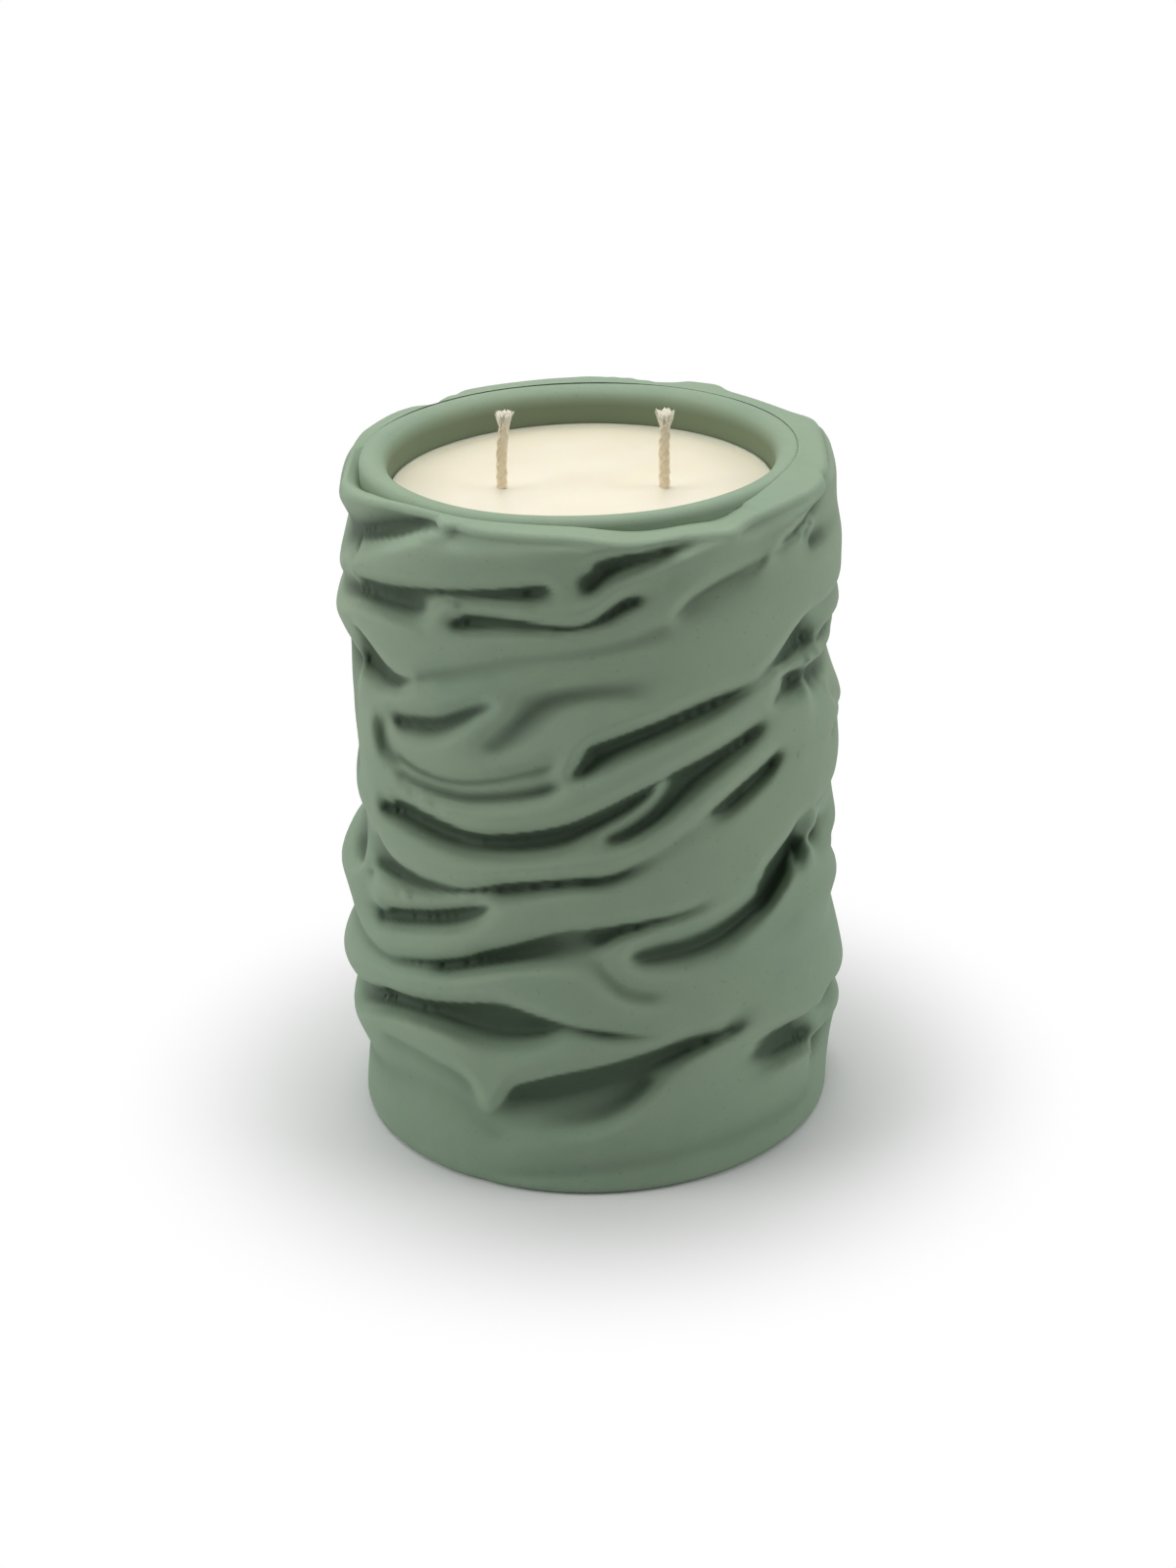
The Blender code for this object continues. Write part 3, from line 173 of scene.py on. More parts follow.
# Finer than the CAD solids, for the close view
DRAPE_COLUMNS = 470
DRAPE_ROWS = 200
TURN_STEPS = 192

# Where the sheet meets the cup: its fit, the round of its foot, where its top runs over the lip as one
# surface (true angle, share), and how far its inner edge dips beside the lip (true angle, depth)
SHEET_FIT = 0.03
SHEET_FOOT_ROUND = 1.6
LIP_JOINED = ((-180, 1.0), (-118, 1.0), (-104, 0.0), (47, 0.0), (64, 1.0), (180, 1.0))
LIP_GROOVE = ((-180, 0.0), (-104, 0.0), (-94, 2.4), (-76, 2.0), (-60, 1.0), (-44, 0.0), (180, 0.0))
LIP_TURNS = (68, 65, 45, 25, 0)
LIP_SUPPORT = 0.94

# Where the folds are drawn out along their run (true angle, share), and over how many columns
SIDE_SOFT = (
    (-180, 0.0), (-112, 0.0), (-98, 0.85), (-80, 0.85), (-68, 0.0), (66, 0.0), (78, 0.85), (98, 0.85),
    (112, 0.0), (180, 0.0),
)
SIDE_BLUR = 10

# Between these heights the folds are smoothed, and again where an edge over STEEP_EDGE shows a steep wall
SMOOTHED_FROM = 3
SMOOTHED_TO = 136
SMOOTHED_TIMES = 4
STEEP_EDGE = 0.9
STEEP_TIMES = 8

# The sheet around a point, as a blur over rows and columns, and the depths and height that count in full for
# the painted shade in its creases and the painted highlight on its crests
AROUND_ROWS = 4.5
AROUND_COLUMNS = 6
CREASE_SHADE_FULL = 2.4
LOW_FROM_R = 48.0
LOW_FULL = 5.0
CREST_HIGHLIGHT_FULL = 1.6

# Each line is (radius or radii along it, points of (angle, height)). Angle 0 faces the viewer,
# + is to the viewer's right, and points beyond SEEN_TO are true angles round the back.
CRESTS = {
    "flap": ((47.4, 49.2, 49.0, 48.0, 47.0), ((-84, 133.6), (-67, 137), (-60, 138.2), (-50, 139.6),
        (-42, 141))),
    "left notch": ((45.8, 45.0, 45.0), ((-64, 129), (-80, 127), (-92, 125.5))),
    "band A": ((48.3, 49.6, 50.4, 50.4, 50.2, 49.6, 48.6), ((-84, 118.6), (-64, 126.5), (-50, 129.5),
        (-35, 132.4), (-20, 134.2), (0, 136.6), (12, 137.6), (22, 138.4), (30, 137))),
    "upper band": ((47.5, 48.6, 48.6, 47), ((-32, 139.4), (-20, 140.8), (-10, 141.4), (0, 140.9),
        (8, 139.9))),
    "A to S web": ((49.5, 49.0), ((-4, 131.5), (-3.5, 127))),
    "S rope": ((48.6, 49.6, 50.2, 50.4, 50.2, 50.2, 50.2, 50.4), ((-37.5, 116.8), (-36, 119.6),
        (-33.5, 122.6), (-30, 124.2), (-25, 124.7), (-18, 124.6), (-10, 124.2), (-4, 123.6), (1, 125),
        (4, 127.2), (8, 129.6), (13, 131.2), (18, 132.2))),
    "under S": ((49.2, 49.6, 49.6, 49.4, 49.6, 49.4), ((-32, 117), (-20, 118.9), (-10, 119.8), (-2, 120.4),
        (4, 121.4), (9, 123.6), (13, 124.8), (16.5, 127), (19, 129.5))),
    "D1": ((51.0, 51.0, 51.0, 51.0, 51.0, 50.6, 49.9, 49.6), ((20, 132.8), (25, 133.8), (30, 135.2),
        (35, 137), (40, 138.6), (46, 140.4), (54, 142.5), (60, 143.5))),
    "D2": (51.6, ((44, 128.4), (48, 130.8), (52, 132), (58, 133.2), (64, 135.4))),
    "B": ((49.4, 50.2, 50.2, 49.4), ((-84, 109.8), (-66, 115.4), (-58, 116.6), (-48, 116.8), (-38, 116),
        (-28, 116.2))),
    "B roll": ((49.6, 49.8, 49.6), ((-44, 109), (-35, 111.8), (-25, 114.4), (-15, 117), (0, 118.8),
        (10, 120.4), (17, 122))),
    "knot": ((47.5, 48.5, 48), ((-68, 108.4), (-64, 105), (-62.5, 101), (-65, 97), (-64, 94.5))),
    "C": ((48.0, 49.0, 49.2), ((-62, 97), (-55, 99), (-50, 101), (-45, 103.4), (-40, 105.2), (-35, 107.4))),
    "C brow": (49.2, ((-46, 99.8), (-42, 100.9), (-35, 101.9), (-30, 104), (-25, 106), (-21, 107.2))),
    "pouch roll": ((48.4, 49.4, 49.2), ((-50, 95.4), (-46, 93.2), (-40, 92.6), (-34, 94.6), (-29, 98),
        (-24, 101.6), (-18, 105))),
    "pouch base": ((48.6, 49, 49), ((-44, 91), (-34, 90.6), (-24, 91.8), (-15, 94.6), (-8, 98), (-4, 102.5),
        (2, 105.6), (14, 105.6))),
    "P1": ((49.0, 49.8, 50.4, 50.6, 50.6), ((-16, 110.5), (0, 112.8), (14, 114.6), (28, 116), (42, 118.6),
        (56, 121), (70, 122), (84, 120))),
    "P1 edge": ((49.8, 50.4, 50.4), ((4, 103), (14, 105.4), (26, 107.4), (38, 109), (48, 112.6),
        (60, 116))),
    "mid roll": (48.8, ((-47, 87.2), (-40, 86.6), (-30, 86.6), (-20, 88), (-12, 89.8), (-6, 91.4))),
    "left turn": (49.6, ((-58.5, 95), (-57.5, 88), (-57, 82), (-58, 77), (-61, 74))),
    "turn crease": (46.8, ((-53.5, 96), (-54, 92.5), (-52, 90), (-49, 88.4))),
    "E": ((49.5, 50.8, 50.8, 50.8, 50.4), ((-57, 86), (-50, 85), (-45, 84), (-40, 83.2), (-35, 82.6),
        (-30, 82.2), (-25, 82.6), (-20, 83.2), (-15, 84.2), (-10, 85.6), (-5, 87.4), (0, 89.2), (5, 91.2),
        (10, 93.2), (15, 94.8), (20, 96.4), (25, 98), (30, 99.4), (35, 100.6), (40, 101.8), (45, 102.8))),
    "rope M": (48.9, ((-2, 77.5), (5, 80.6), (8, 82.2), (12, 84.8), (15, 88), (17, 90))),
    "F shoulder": ((49.2, 49.8, 49.4), ((-52, 74.6), (-45, 73.8), (-40, 72.8), (-32, 72.2), (-25, 72.4),
        (-15, 73.4), (-8, 74.6), (-2, 76.2))),
    "F": ((48.5, 50.6, 51.0, 51.0, 50.6, 50.4, 50.4), ((-62, 76), (-60, 72), (-56, 69.6), (-50, 69.6),
        (-40, 69.4), (-30, 69.8), (-20, 71.2), (-10, 72.2), (0, 73.2), (5, 74.4), (10, 76.4), (15, 78.6),
        (20, 81.2), (25, 84), (30, 86.6), (35, 89), (40, 91), (45, 92.8), (52, 95))),
    "F panel": (50.0, ((6, 68.4), (16, 71), (26, 75), (36, 79), (46, 83), (56, 86))),
    "G": ((51.3, 50.8, 50.2, 49.8), ((-84, 54.8), (-72, 57.4), (-63, 59.8), (-50, 60), (-40, 61.4),
        (-32, 63.2), (-25, 65.2))),
    "H": ((49.6, 50.4, 50.4, 50.2), ((-62, 47.6), (-55, 50.3), (-45, 52.6), (-40, 53.8), (-35, 54.8),
        (-30, 56.2), (-27, 57.6), (-24, 60), (-22, 61.8), (-18, 63.4), (-12, 65.2), (-5, 67), (5, 66.6),
        (15, 66), (25, 67), (35, 69.4))),
    "J loop": ((49.8, 50.4, 50.6, 50.6, 50.4, 50.6, 50.6), ((39.5, 61.6), (35, 60.4), (28, 59.3),
        (20, 58.5), (12, 57.7), (7, 56.4), (4.6, 54.2), (4.2, 52), (5.6, 50.2), (9, 48.6), (14, 47.4),
        (20, 46.6), (27, 46.2), (35, 46.8), (45, 48.6), (55, 50.4))),
    "K near side": (50.8, ((56.5, 63.6), (52, 59.4), (47, 55.6), (40, 51.8), (34, 49.4))),
    "right swell": (51.8, ((73, 50), (78, 53), (84, 55.0))),
    "right bulge": (51.3, ((75.5, 78), (78, 86), (77, 94))),
    "right swell high": (51.6, ((75, 60), (80, 61.5), (84, 62.5))),
    "right lower fold": (51.2, ((67, 76), (66.5, 70), (65, 63), (62, 56), (60, 50), (58, 45))),
    "right upper fold": (50.6, ((58, 82), (60, 88), (61.5, 94), (62.5, 98.5))),
    "O sill": (49.6, ((44, 104.4), (50, 105.6), (56, 105.6), (63, 105))),
    "Q": ((52.0, 51.4, 51.2, 51.0, 50.6, 50.4, 50.4), ((-84, 35), (-66, 37), (-50, 41), (-35, 45),
        (-25, 47.8), (-15, 49.6), (-6, 49.4), (-1, 46.6), (4, 43.2), (10, 40.8), (20, 39.6), (35, 39.6),
        (50, 40), (64, 40))),
    "Q edge": ((51.2, 51.4, 51.2, 50.8), ((-62, 37.2), (-50, 39.6), (-40, 41.8), (-30, 43.8), (-22, 44.8),
        (-14, 43.8), (-6, 41.4), (2, 39.2))),
    "R": ((50.9, 51.0, 51.2, 51.0, 50.4, 50.2, 50.0), ((-84, 21.5), (-66, 27), (-55, 30), (-45, 31.4),
        (-35, 30.8), (-28, 28.4), (-24, 27.8), (-18, 29.6), (-10, 33), (-6, 36), (-3, 36), (3, 34.6),
        (10, 34.6), (18, 35))),
    "drip": ((50.8, 50.8), ((-27, 27), (-26.4, 23), (-26, 20))),
    "U": ((48.8, 49.8, 50.6, 50.8, 51.0, 51.0), ((-22, 9), (-14, 11), (-6, 12.4), (1, 13.6), (7, 15.6),
        (11, 18), (15, 21.4), (19, 25), (24, 28), (29, 29.6), (36, 30.6), (50, 31.2), (62, 30))),
    "foot right": ((49.2, 50.0, 50.6, 51.0, 51.4), ((18, 14), (35, 17), (48, 17.6), (60, 17.2), (84, 18))),
}

VALLEYS = {
    "above flap": (45.2, ((-84, 138.6), (-78, 138.8))),
    "under flap": ((45.1, 45.4, 44.9, 44.8, 45.4), ((-84, 126.5), (-68, 131), (-60, 132.4), (-50, 134.6),
        (-42, 136.8), (-36, 138.4))),
    "upper crease": (48.8, ((-24, 138.4), (-12, 139), (0, 138.8), (8, 139.2))),
    "under A": ((48.2, 46.6, 46.6, 46.4), ((-84, 114.6), (-66, 120.2), (-56, 121.4), (-46, 122),
        (-38, 122.4))),
    "A hole": (44.6, ((-28, 126.9), (-20, 127.6), (-12, 128.4), (-8.5, 128.8))),
    "S right pocket": ((45.6, 45.4, 45.2, 45.4, 46.0, 47.4), ((0.6, 128.8), (1.2, 130.6), (3.4, 132.6),
        (8, 133.8), (14, 134.4), (20, 135))),
    "S hole": ((44.8, 44.6, 44.8, 45.6, 46.6, 45.6, 45.2, 46.2), ((-29, 120.8), (-24, 121.6), (-16, 121.8),
        (-8, 121.5), (-2, 121.3), (4, 123.2), (8, 125.4), (11.5, 126.3))),
    "D1 crease": (48.4, ((21, 122.6), (24, 124.4), (29, 126.2), (36, 127.6))),
    "D1 D2 crease": ((45.8, 45.6, 46.4, 47.4, 47.8), ((48, 131.6), (52, 133.2), (56, 135), (60, 137.2),
        (64, 139.4))),
    "D2 pocket": (47.4, ((58, 128.2), (62.5, 128.8))),
    "B roll crease": ((48.2, 48.6, 48.8), ((-41, 107.2), (-35, 109.4), (-30, 111), (-25, 112.4),
        (-20, 113.8), (-15, 115.2), (-10, 115.9), (0, 116.8), (10, 118.4), (18, 120.4))),
    "C hole": (44.6, ((-60, 108.6), (-55, 107), (-50, 105.9), (-46, 105.5))),
    "lens": ((46.2, 46.2, 46.6, 47.4), ((-46.5, 97.7), (-42, 98.4), (-35, 99.4), (-30, 101.4), (-25, 103.5),
        (-22, 104.9))),
    "lens floor": (47.6, ((-43, 97), (-37, 97.4), (-31, 99.6), (-27, 101.6))),
    "pouch": ((48, 47.4, 47.4, 48.4), ((-22, 96), (-18, 99), (-14, 103), (-8, 107), (0, 108.4),
        (10, 108.6))),
    "P1 hole": ((46.2, 44.6, 44.6, 44.6, 44.6, 44.8, 45.2, 46.2), ((-3, 92.6), (0, 95.6), (5, 97.8),
        (10, 99.3), (15, 100.6), (20, 101.9), (25, 103), (30, 103.9))),
    "P1 far hole": (45.4, ((47, 107.4), (52, 109), (57, 110.6), (62, 111.4))),
    "mid crease": (47.4, ((-47, 86), (-40, 85.4), (-30, 85.1), (-20, 86.6), (-12, 88), (-8, 89.3))),
    "turn recess": (45.0, ((-63, 92), (-62.5, 88), (-61.5, 84))),
    "E hole": ((45.2, 44.5, 44.5, 44.5, 44.5, 44.6, 45.4), ((-52, 78.6), (-45, 78.4), (-40, 77.6),
        (-35, 76.8), (-30, 76.4), (-25, 76.4), (-20, 76.8), (-15, 77.4), (-10, 78.2), (-5, 79.6), (0, 81.8),
        (5, 84), (10, 86.2), (13, 87.8))),
    "M valley": ((46.4, 46.2, 46.0, 46.4), ((4, 78.3), (8, 79.4), (12, 81.3), (16, 84), (20, 87.8),
        (25, 90.6), (30, 92.8), (35, 94.4), (40, 95.8))),
    "F far hole": (44.8, ((29, 81), (32, 82.4), (36, 84), (40, 85.6), (44, 87.2))),
    "above G": ((45.8, 47.0, 47.4), ((-84, 67), (-62, 65.4), (-52, 64), (-42, 63.8), (-33, 64.8))),
    "G hole": ((46.6, 45.2, 44.7, 44.7, 44.7, 44.7, 44.7), ((-56, 53.4), (-50, 54.6), (-45, 56),
        (-40, 57.2), (-35, 58.4), (-30, 60.2), (-26, 62))),
    "H hole": ((47.4, 46.6, 46.0, 46.2, 46.8, 47.4, 47.8), ((-38, 46.8), (-32, 48.8), (-26, 51),
        (-20, 52.8), (-14, 54.2), (-6, 55.6), (0, 56.2))),
    "J mouth": (45.0, ((1.6, 57.2), (3, 58.6), (6, 59.4), (11, 59.8))),
    "J inside": ((46.8, 46.0, 45.6, 45.4, 45.0, 44.8), ((9.5, 53.2), (15, 53.4), (22, 53.8), (30, 55.2),
        (36, 57.2), (41, 59.8))),
    "K hole high": ((44.6, 44.6, 44.6, 44.8, 46.4), ((41.5, 62), (43.5, 64), (47, 66), (52, 67.8),
        (57, 69.6))),
    "K hole mid": ((44.6, 44.6, 44.6, 45.0), ((41, 59.4), (45, 61.8), (49, 64.4), (53, 66.8))),
    "K hole low": ((45, 44.8, 45, 46.6), ((42, 57.6), (46, 60), (50, 62.8), (53, 65))),
    "right lower valley": ((48.6, 47.6, 47.0), ((69, 66), (68.5, 60), (67, 53))),
    "right upper pocket": ((48.2, 47.2, 48.0), ((65, 98), (66, 93), (66, 88))),
    "O hole": ((45.3, 45.4, 45.8, 46.8), ((48.5, 102.2), (52, 102.6), (57, 102.4), (62, 101.6))),
    "Q J crease": (48.9, ((1.5, 53), (4, 48), (7.5, 45), (13, 43.6))),
    "Q hole": ((45.2, 45.0, 44.8, 45.0, 46.0), ((-66, 32.2), (-60, 33.6), (-50, 36), (-42, 37), (-35, 37.2),
        (-27, 36.6), (-20, 36.4), (-14, 37.4), (-10, 38.4))),
    "bowl": ((47.4, 46.4, 46.0, 45.8, 45.8, 46.6, 48), ((-18, 21), (-12, 23), (-4, 25.4), (4, 27.8),
        (11, 29.6), (18, 31.4), (27, 32.6), (35, 33))),
    "bowl floor": ((48.2, 47.4, 47.0, 46.8), ((-16, 17), (-8, 17.6), (0, 19), (7, 22), (12, 26))),
    "V": ((47.4, 46.0, 45.6, 46.0, 47.4, 49.4), ((40, 25.0), (46, 24.6), (52, 24.2), (58, 23.4), (64, 22.8),
        (69, 22.4))),
    "W": (45.8, ((57, 34.2), (60, 33.3), (63, 32))),
    "foot front": (48.5, ((-30, 1.5), (-20, 3), (-10, 5), (0, 6.4), (10, 7.4), (20, 8.2), (40, 8.6),
        (60, 8))),
    "foot left": ((48.0, 48.3, 48.4, 48.4), ((-84, 12.5), (-60, 17), (-45, 19.6), (-34, 18), (-24, 12))),
}

# Edges where the sheet laps over itself: radii just above the edge, radii just below it, points.
LAPS = {
    "A top": ((45.4, 45.0, 45.0, 46.6), (48.8, 49.6, 49.8, 48.8), ((-63, 129.2), (-55, 131.4), (-50, 132.8),
        (-45, 134.2), (-40, 136), (-35, 137.4), (-30, 138.7))),
    "A": ((49.6, 50.6, 50.6, 50.4, 50.2), (46.4, 46.2, 45.6, 44.5, 44.6), ((-66, 122), (-60, 123.2),
        (-50, 124.8), (-40, 126.2), (-30, 127.3), (-20, 128.5), (-10, 129.7), (-7, 129.9))),
    "A right": ((50.2, 50.4, 50.4, 50.2, 50.0, 49.8), (45.0, 44.6, 44.6, 45.0, 46.6, 48.6), ((0.5, 133),
        (4, 134.6), (10, 135), (15, 135.2), (20, 135.5), (25, 136))),
    "S": ((49.8, 50.4, 50.4, 50.2, 50.2, 50.0, 49.8), (45.0, 44.5, 44.6, 45.4, 46.2, 45.0, 46.4),
        ((-29, 122.3), (-26, 122.9), (-20, 123.1), (-13, 122.7), (-6, 121.9), (0, 122.1), (4, 124.3),
        (8, 126.6), (12, 127.6))),
    "D1": ((50.2, 50.8, 50.8, 50.8), (49.0, 47.2, 47.0, 48.0, 49.6), ((18, 120.8), (20.5, 123.2),
        (24, 125.6), (30, 127.6), (36, 128.8), (44, 129.8), (54, 130.2))),
    "D2": (51.0, (46.6, 46.0), ((58, 129.6), (66, 130.2))),
    "C": ((49.2, 49.6, 49.6, 49.2), (45.4, 44.6, 44.5, 44.6, 47.8), ((-70, 111), (-65, 111.2), (-60, 110.2),
        (-55, 108.6), (-50, 107.4), (-46, 106.9), (-41, 107.6))),
    "P1": ((50.0, 50.6, 50.6, 50.6, 50.6, 50.2), (46.5, 45.2, 44.5, 44.5, 44.5, 44.5, 44.5, 44.6, 44.8,
        45.4, 46.8, 48.8, 47.2, 45.6, 45.2, 46.0, 48.2), ((-5, 91), (-2.5, 93.6), (-1, 96.2), (0.5, 98),
        (5, 99.3), (10, 100.6), (15, 101.8), (20, 103), (25, 104), (30, 104.7), (35, 105.1), (40, 105.6),
        (45, 107.6), (50, 109.6), (55, 111.5), (60, 112.6), (66, 113))),
    "pouch": ((48.4, 49.0, 49.0, 49.0), (46.6, 46.4, 46.8, 47.2), ((-49, 91), (-45, 89.6), (-38, 88.6),
        (-30, 88.7), (-22, 90.2), (-14, 92.4), (-7, 94.4))),
    "E": ((50.0, 51.0, 51.0, 51.0, 50.8, 50.8, 49.8), (46.0, 44.5, 44.5, 44.5, 45.0, 45.4, 47.8),
        ((-53, 79.2), (-50, 80.2), (-45, 80.7), (-40, 80.2), (-35, 79.5), (-30, 78.8), (-25, 78.6),
        (-20, 79.2), (-15, 80), (-10, 81), (-5, 82.2), (0, 84), (5, 86), (10, 88), (15, 89.7), (20, 91.5),
        (25, 92.8), (30, 94), (35, 95.2), (40, 96.4), (44, 97))),
    "E end": (50.0, (48.6, 46.6, 46.2), ((45, 98), (47, 100), (48.5, 102))),
    "F": ((49.4, 50.8, 51.0, 51.0, 50.8, 50.4, 50.4, 50.8, 50.6), (48.4, 47.4, 47.0, 46.6, 46.4, 46.0, 45.6,
        45.2, 44.8, 44.6, 44.6, 44.6, 44.8, 45.4, 48.0, 49.2, 49.2, 49.0, 46.0, 44.7, 44.7, 45.6, 48.6),
        ((-62, 72), (-60, 69.5), (-57, 67.6), (-53, 66.6), (-45, 66.1), (-35, 66), (-30, 66.3), (-25, 67.3),
        (-20, 68.7), (-15, 69.5), (-10, 70.1), (-5, 70.6), (0, 70.9), (5, 71.3), (10, 73.1), (15, 75.1),
        (20, 77.5), (25, 80.2), (30, 82.6), (35, 84.8), (40, 86.6), (45, 88.2), (50, 89.6))),
    "G": ((50.6, 50.0, 49.8, 49.6), (49.8, 47.6, 45.6, 44.6, 44.6, 44.6, 44.6, 45.2, 45.8, 46.0),
        ((-62, 53.4), (-58, 54.2), (-55, 55.2), (-50, 56.5), (-45, 58), (-40, 59.3), (-35, 60.7),
        (-30, 62.1), (-25, 63.1), (-23, 63.6))),
    "H": ((49.8, 50.6, 50.4, 50.4, 50.2), (48.6, 47.4, 46.8, 46.0, 45.2, 44.8, 44.8, 45.0, 45.6, 46.4, 46.8,
        46.6, 46.0, 47.0, 49.2), ((-60, 43.4), (-50, 45.6), (-45, 47.1), (-40, 48.3), (-35, 49.8),
        (-30, 51.4), (-25, 53.6), (-20, 55.3), (-15, 57.1), (-10, 58.8), (-5, 59.9), (0, 60.2), (10, 60.8),
        (20, 61.4), (28, 62.8))),
    "K": ((50.6, 50.8, 50.6), (45.0, 44.5, 44.5, 44.6, 46.4, 48.8), ((41.5, 64), (44, 65.7), (47, 67),
        (50, 68), (55, 69.5), (60, 71.4))),
    "O": ((50.4, 50.4), (46.2, 45.5, 48.0), ((47.5, 103.5), (50, 104), (55, 103.6), (60, 102.7),
        (66, 101.7))),
    "Q": ((50.8, 51.6, 51.6, 51.4, 51.0, 50.6, 50.4), (46.4, 45.6, 45.2, 45.0, 44.8, 44.8, 44.8, 44.8, 45.2,
        46.0, 47.0, 46.4, 46.8, 47.8, 48.8, 49.4, 49.8), ((-70, 31.6), (-65, 33.5), (-60, 35), (-50, 37.3),
        (-40, 39.4), (-30, 41.4), (-25, 42.3), (-20, 42.4), (-15, 41.4), (-10, 40.2), (-5, 38.9), (0, 37.9),
        (5, 37.1), (10, 36.2), (15, 35.6), (20, 35.1), (30, 34.6))),
    "R": ((50.4, 51.0, 51.0, 51.0, 51.0, 50.6, 50.4), (48.6, 48.4, 48.2, 48.2, 48.2, 48.2, 48.2, 48.2, 48.0,
        47.8, 47.2, 46.6, 46.0, 45.6, 45.4, 45.4, 45.6, 45.6, 45.6, 45.6, 45.8, 46.2, 48.4), ((-64, 23.6),
        (-55, 25.5), (-45, 26.1), (-40, 25.7), (-35, 25), (-32, 24), (-30, 22.4), (-28.8, 20.4),
        (-27.5, 18.6), (-26, 18), (-24.4, 18.8), (-22.6, 20.6), (-21, 22.8), (-19, 24.8), (-15, 26.3),
        (-10, 27.9), (-5, 29.1), (0, 30.1), (5, 31.1), (10, 32.1), (15, 33), (20, 33.8), (30, 34.2))),
    "V": ((50.4, 51.0, 51.2, 51.4), (48.4, 46.2, 45.6, 45.8, 47.0, 49.0, 50.8), ((38, 27.8), (45, 28.5),
        (50, 28.1), (55, 27.2), (60, 26), (68, 24.6), (74, 23.6))),
}

# Where folds run on across the sheet's two sides: true height and radius or radii at the side
SIDES = {
    "right": {
        "crests": {
            "D2": (134.4, 49.5), "P1": (122.0, 51.7), "O sill": (109.0, 50.7), "F panel": (86.6, 52.2),
            "Q": (40.6, 49.4), "U": (27.8, 52.3), "foot right": (17.0, 52.4), "right swell": (55.6, 52.2),
            "right swell high": (63.0, 52.0),
        },
        "valleys": {"V": (20.6, 50.4), "O hole": (101.2, 48.0)},
        "laps": {"P1": (113.8, 50.8, 49.8), "O": (102.6, 49.6, 48.2), "K": (72.8, 50.2, 48.8)},
    },
    "left": {
        "crests": {
            "flap": (132.8, 47.6), "band A": (117.8, 48.2), "B": (109.4, 49.4), "C": (91.0, 46.4),
            "F": (74.0, 47.0), "G": (53.8, 52.0), "Q": (34.6, 51.8), "R": (21.8, 50.9),
        },
        "valleys": {
            "under flap": (124.8, 44.6), "under A": (114.4, 47.2), "above G": (67.6, 45.4),
            "foot left": (12.8, 47.8),
        },
        "laps": {"F": (70.2, 46.9, 45.5), "H": (44.0, 49.2, 48.2), "Q": (29.0, 50.8, 49.4)},
    },
}

# The photo doesn't show the back: the front's folds run on round it, mirrored, spread and swayed
BACK_SPREAD = 1.12
BACK_SWAY = 3.0
BACK_SWAY_TURN = 1.6
BACK_SWAY_FROM = 40.0
BACK_REACH = 68.0
NOT_BEHIND = (
    "left notch", "drip", "W", "J mouth", "turn crease", "turn recess", "left turn", "knot", "C hole",
    "D1 D2 crease", "right upper fold", "right upper pocket", "right lower fold",
    "right lower valley", "D2 pocket",
)

# The sheet's top edge: (true angle, height below the cup's lip), and the radius it has there
TOP_EDGE = (
    (-180, 1.0), (-160, 0.8), (-146, 0.6), (-138, 1.2), (-130, 0.5), (-118, 1.6), (-104, 1.0), (-97, 2.6),
    (-91, 4.4), (-84, 3.6), (-76, 2.3), (-66, 1.2), (-50, 0.7), (-30, 0.9), (-14, 0.8), (-2, 1.0), (5, 1.8),
    (11, 2.6), (17, 2.8), (27, 2.6), (33, 3.2), (36.5, 3.2), (41, 2.2), (46, 1.5), (56, 0.9), (66, 1.0),
    (78, 1.8), (90, 1.2), (110, 0.9), (140, 0.8), (165, 0.6), (180, 1.0),
)
TOP_RADIUS = (
    (-180, 48.0), (-160, 48.0), (-147, 48.6), (-140, 47.0), (-130, 49.4), (-121, 46.4), (-108, 45.4),
    (-97, 44.9), (-91, 45.6), (-84, 46.0), (-70, 46.4), (-55, 46.4), (-40, 46.2), (-25, 47.0), (-10, 48.2),
    (0, 48.0), (8, 47.4), (14, 46.8), (22, 47.6), (30, 47.4), (36, 46.4), (42, 48.6), (50, 49.8),
    (62, 49.3), (74, 48.2), (85, 46.6), (100, 45.4), (120, 46.0), (145, 47.4), (165, 48.2), (180, 48.0),
)


def along(values, count):
    """Values given evenly along a line, one for each of its points."""
    if np.isscalar(values):
        return np.full(count, float(values))
    if len(values) == count:
        return np.array(values, float)
    return np.interp(np.linspace(0, 1, count), np.linspace(0, 1, len(values)), values)


def spread(values, axis, sigma, reach, ends="wrap"):
    """Gaussian blur along one axis, that goes round it or, with ends="clip", stops at its ends."""
    shifts = np.arange(-reach, reach + 1)
    weights = np.exp(-0.5 * (shifts / sigma) ** 2)
    places = np.arange(values.shape[axis])
    moved = (np.take(values, places + shift, axis, mode=ends) for shift in shifts)
    return sum(weight * layer for weight, layer in zip(weights, moved)) / weights.sum()


def around_axis(radius, turn, height):
    """Points (x, y, z) at this radius and height, turned (in radians) from the front."""
    return np.stack([radius * np.sin(turn), -radius * np.cos(turn), height], axis=-1)


def near_turn(angles):
    """The same angles from -180 to 180."""
    return np.mod(np.asarray(angles) + 180.0, 360.0) - 180.0


def in_sight(values, points):
    """Values along a line of points, none deeper than the line of sight reaches near the sides."""
    angles = np.abs(near_turn([angle for angle, _ in points]))
    reached = READ_R * np.sin(np.radians(angles)) + SIGHT_MARGIN
    deepest = np.where(angles <= SEEN_TO, reached, 0)
    return np.maximum(along(values, len(points)), deepest)


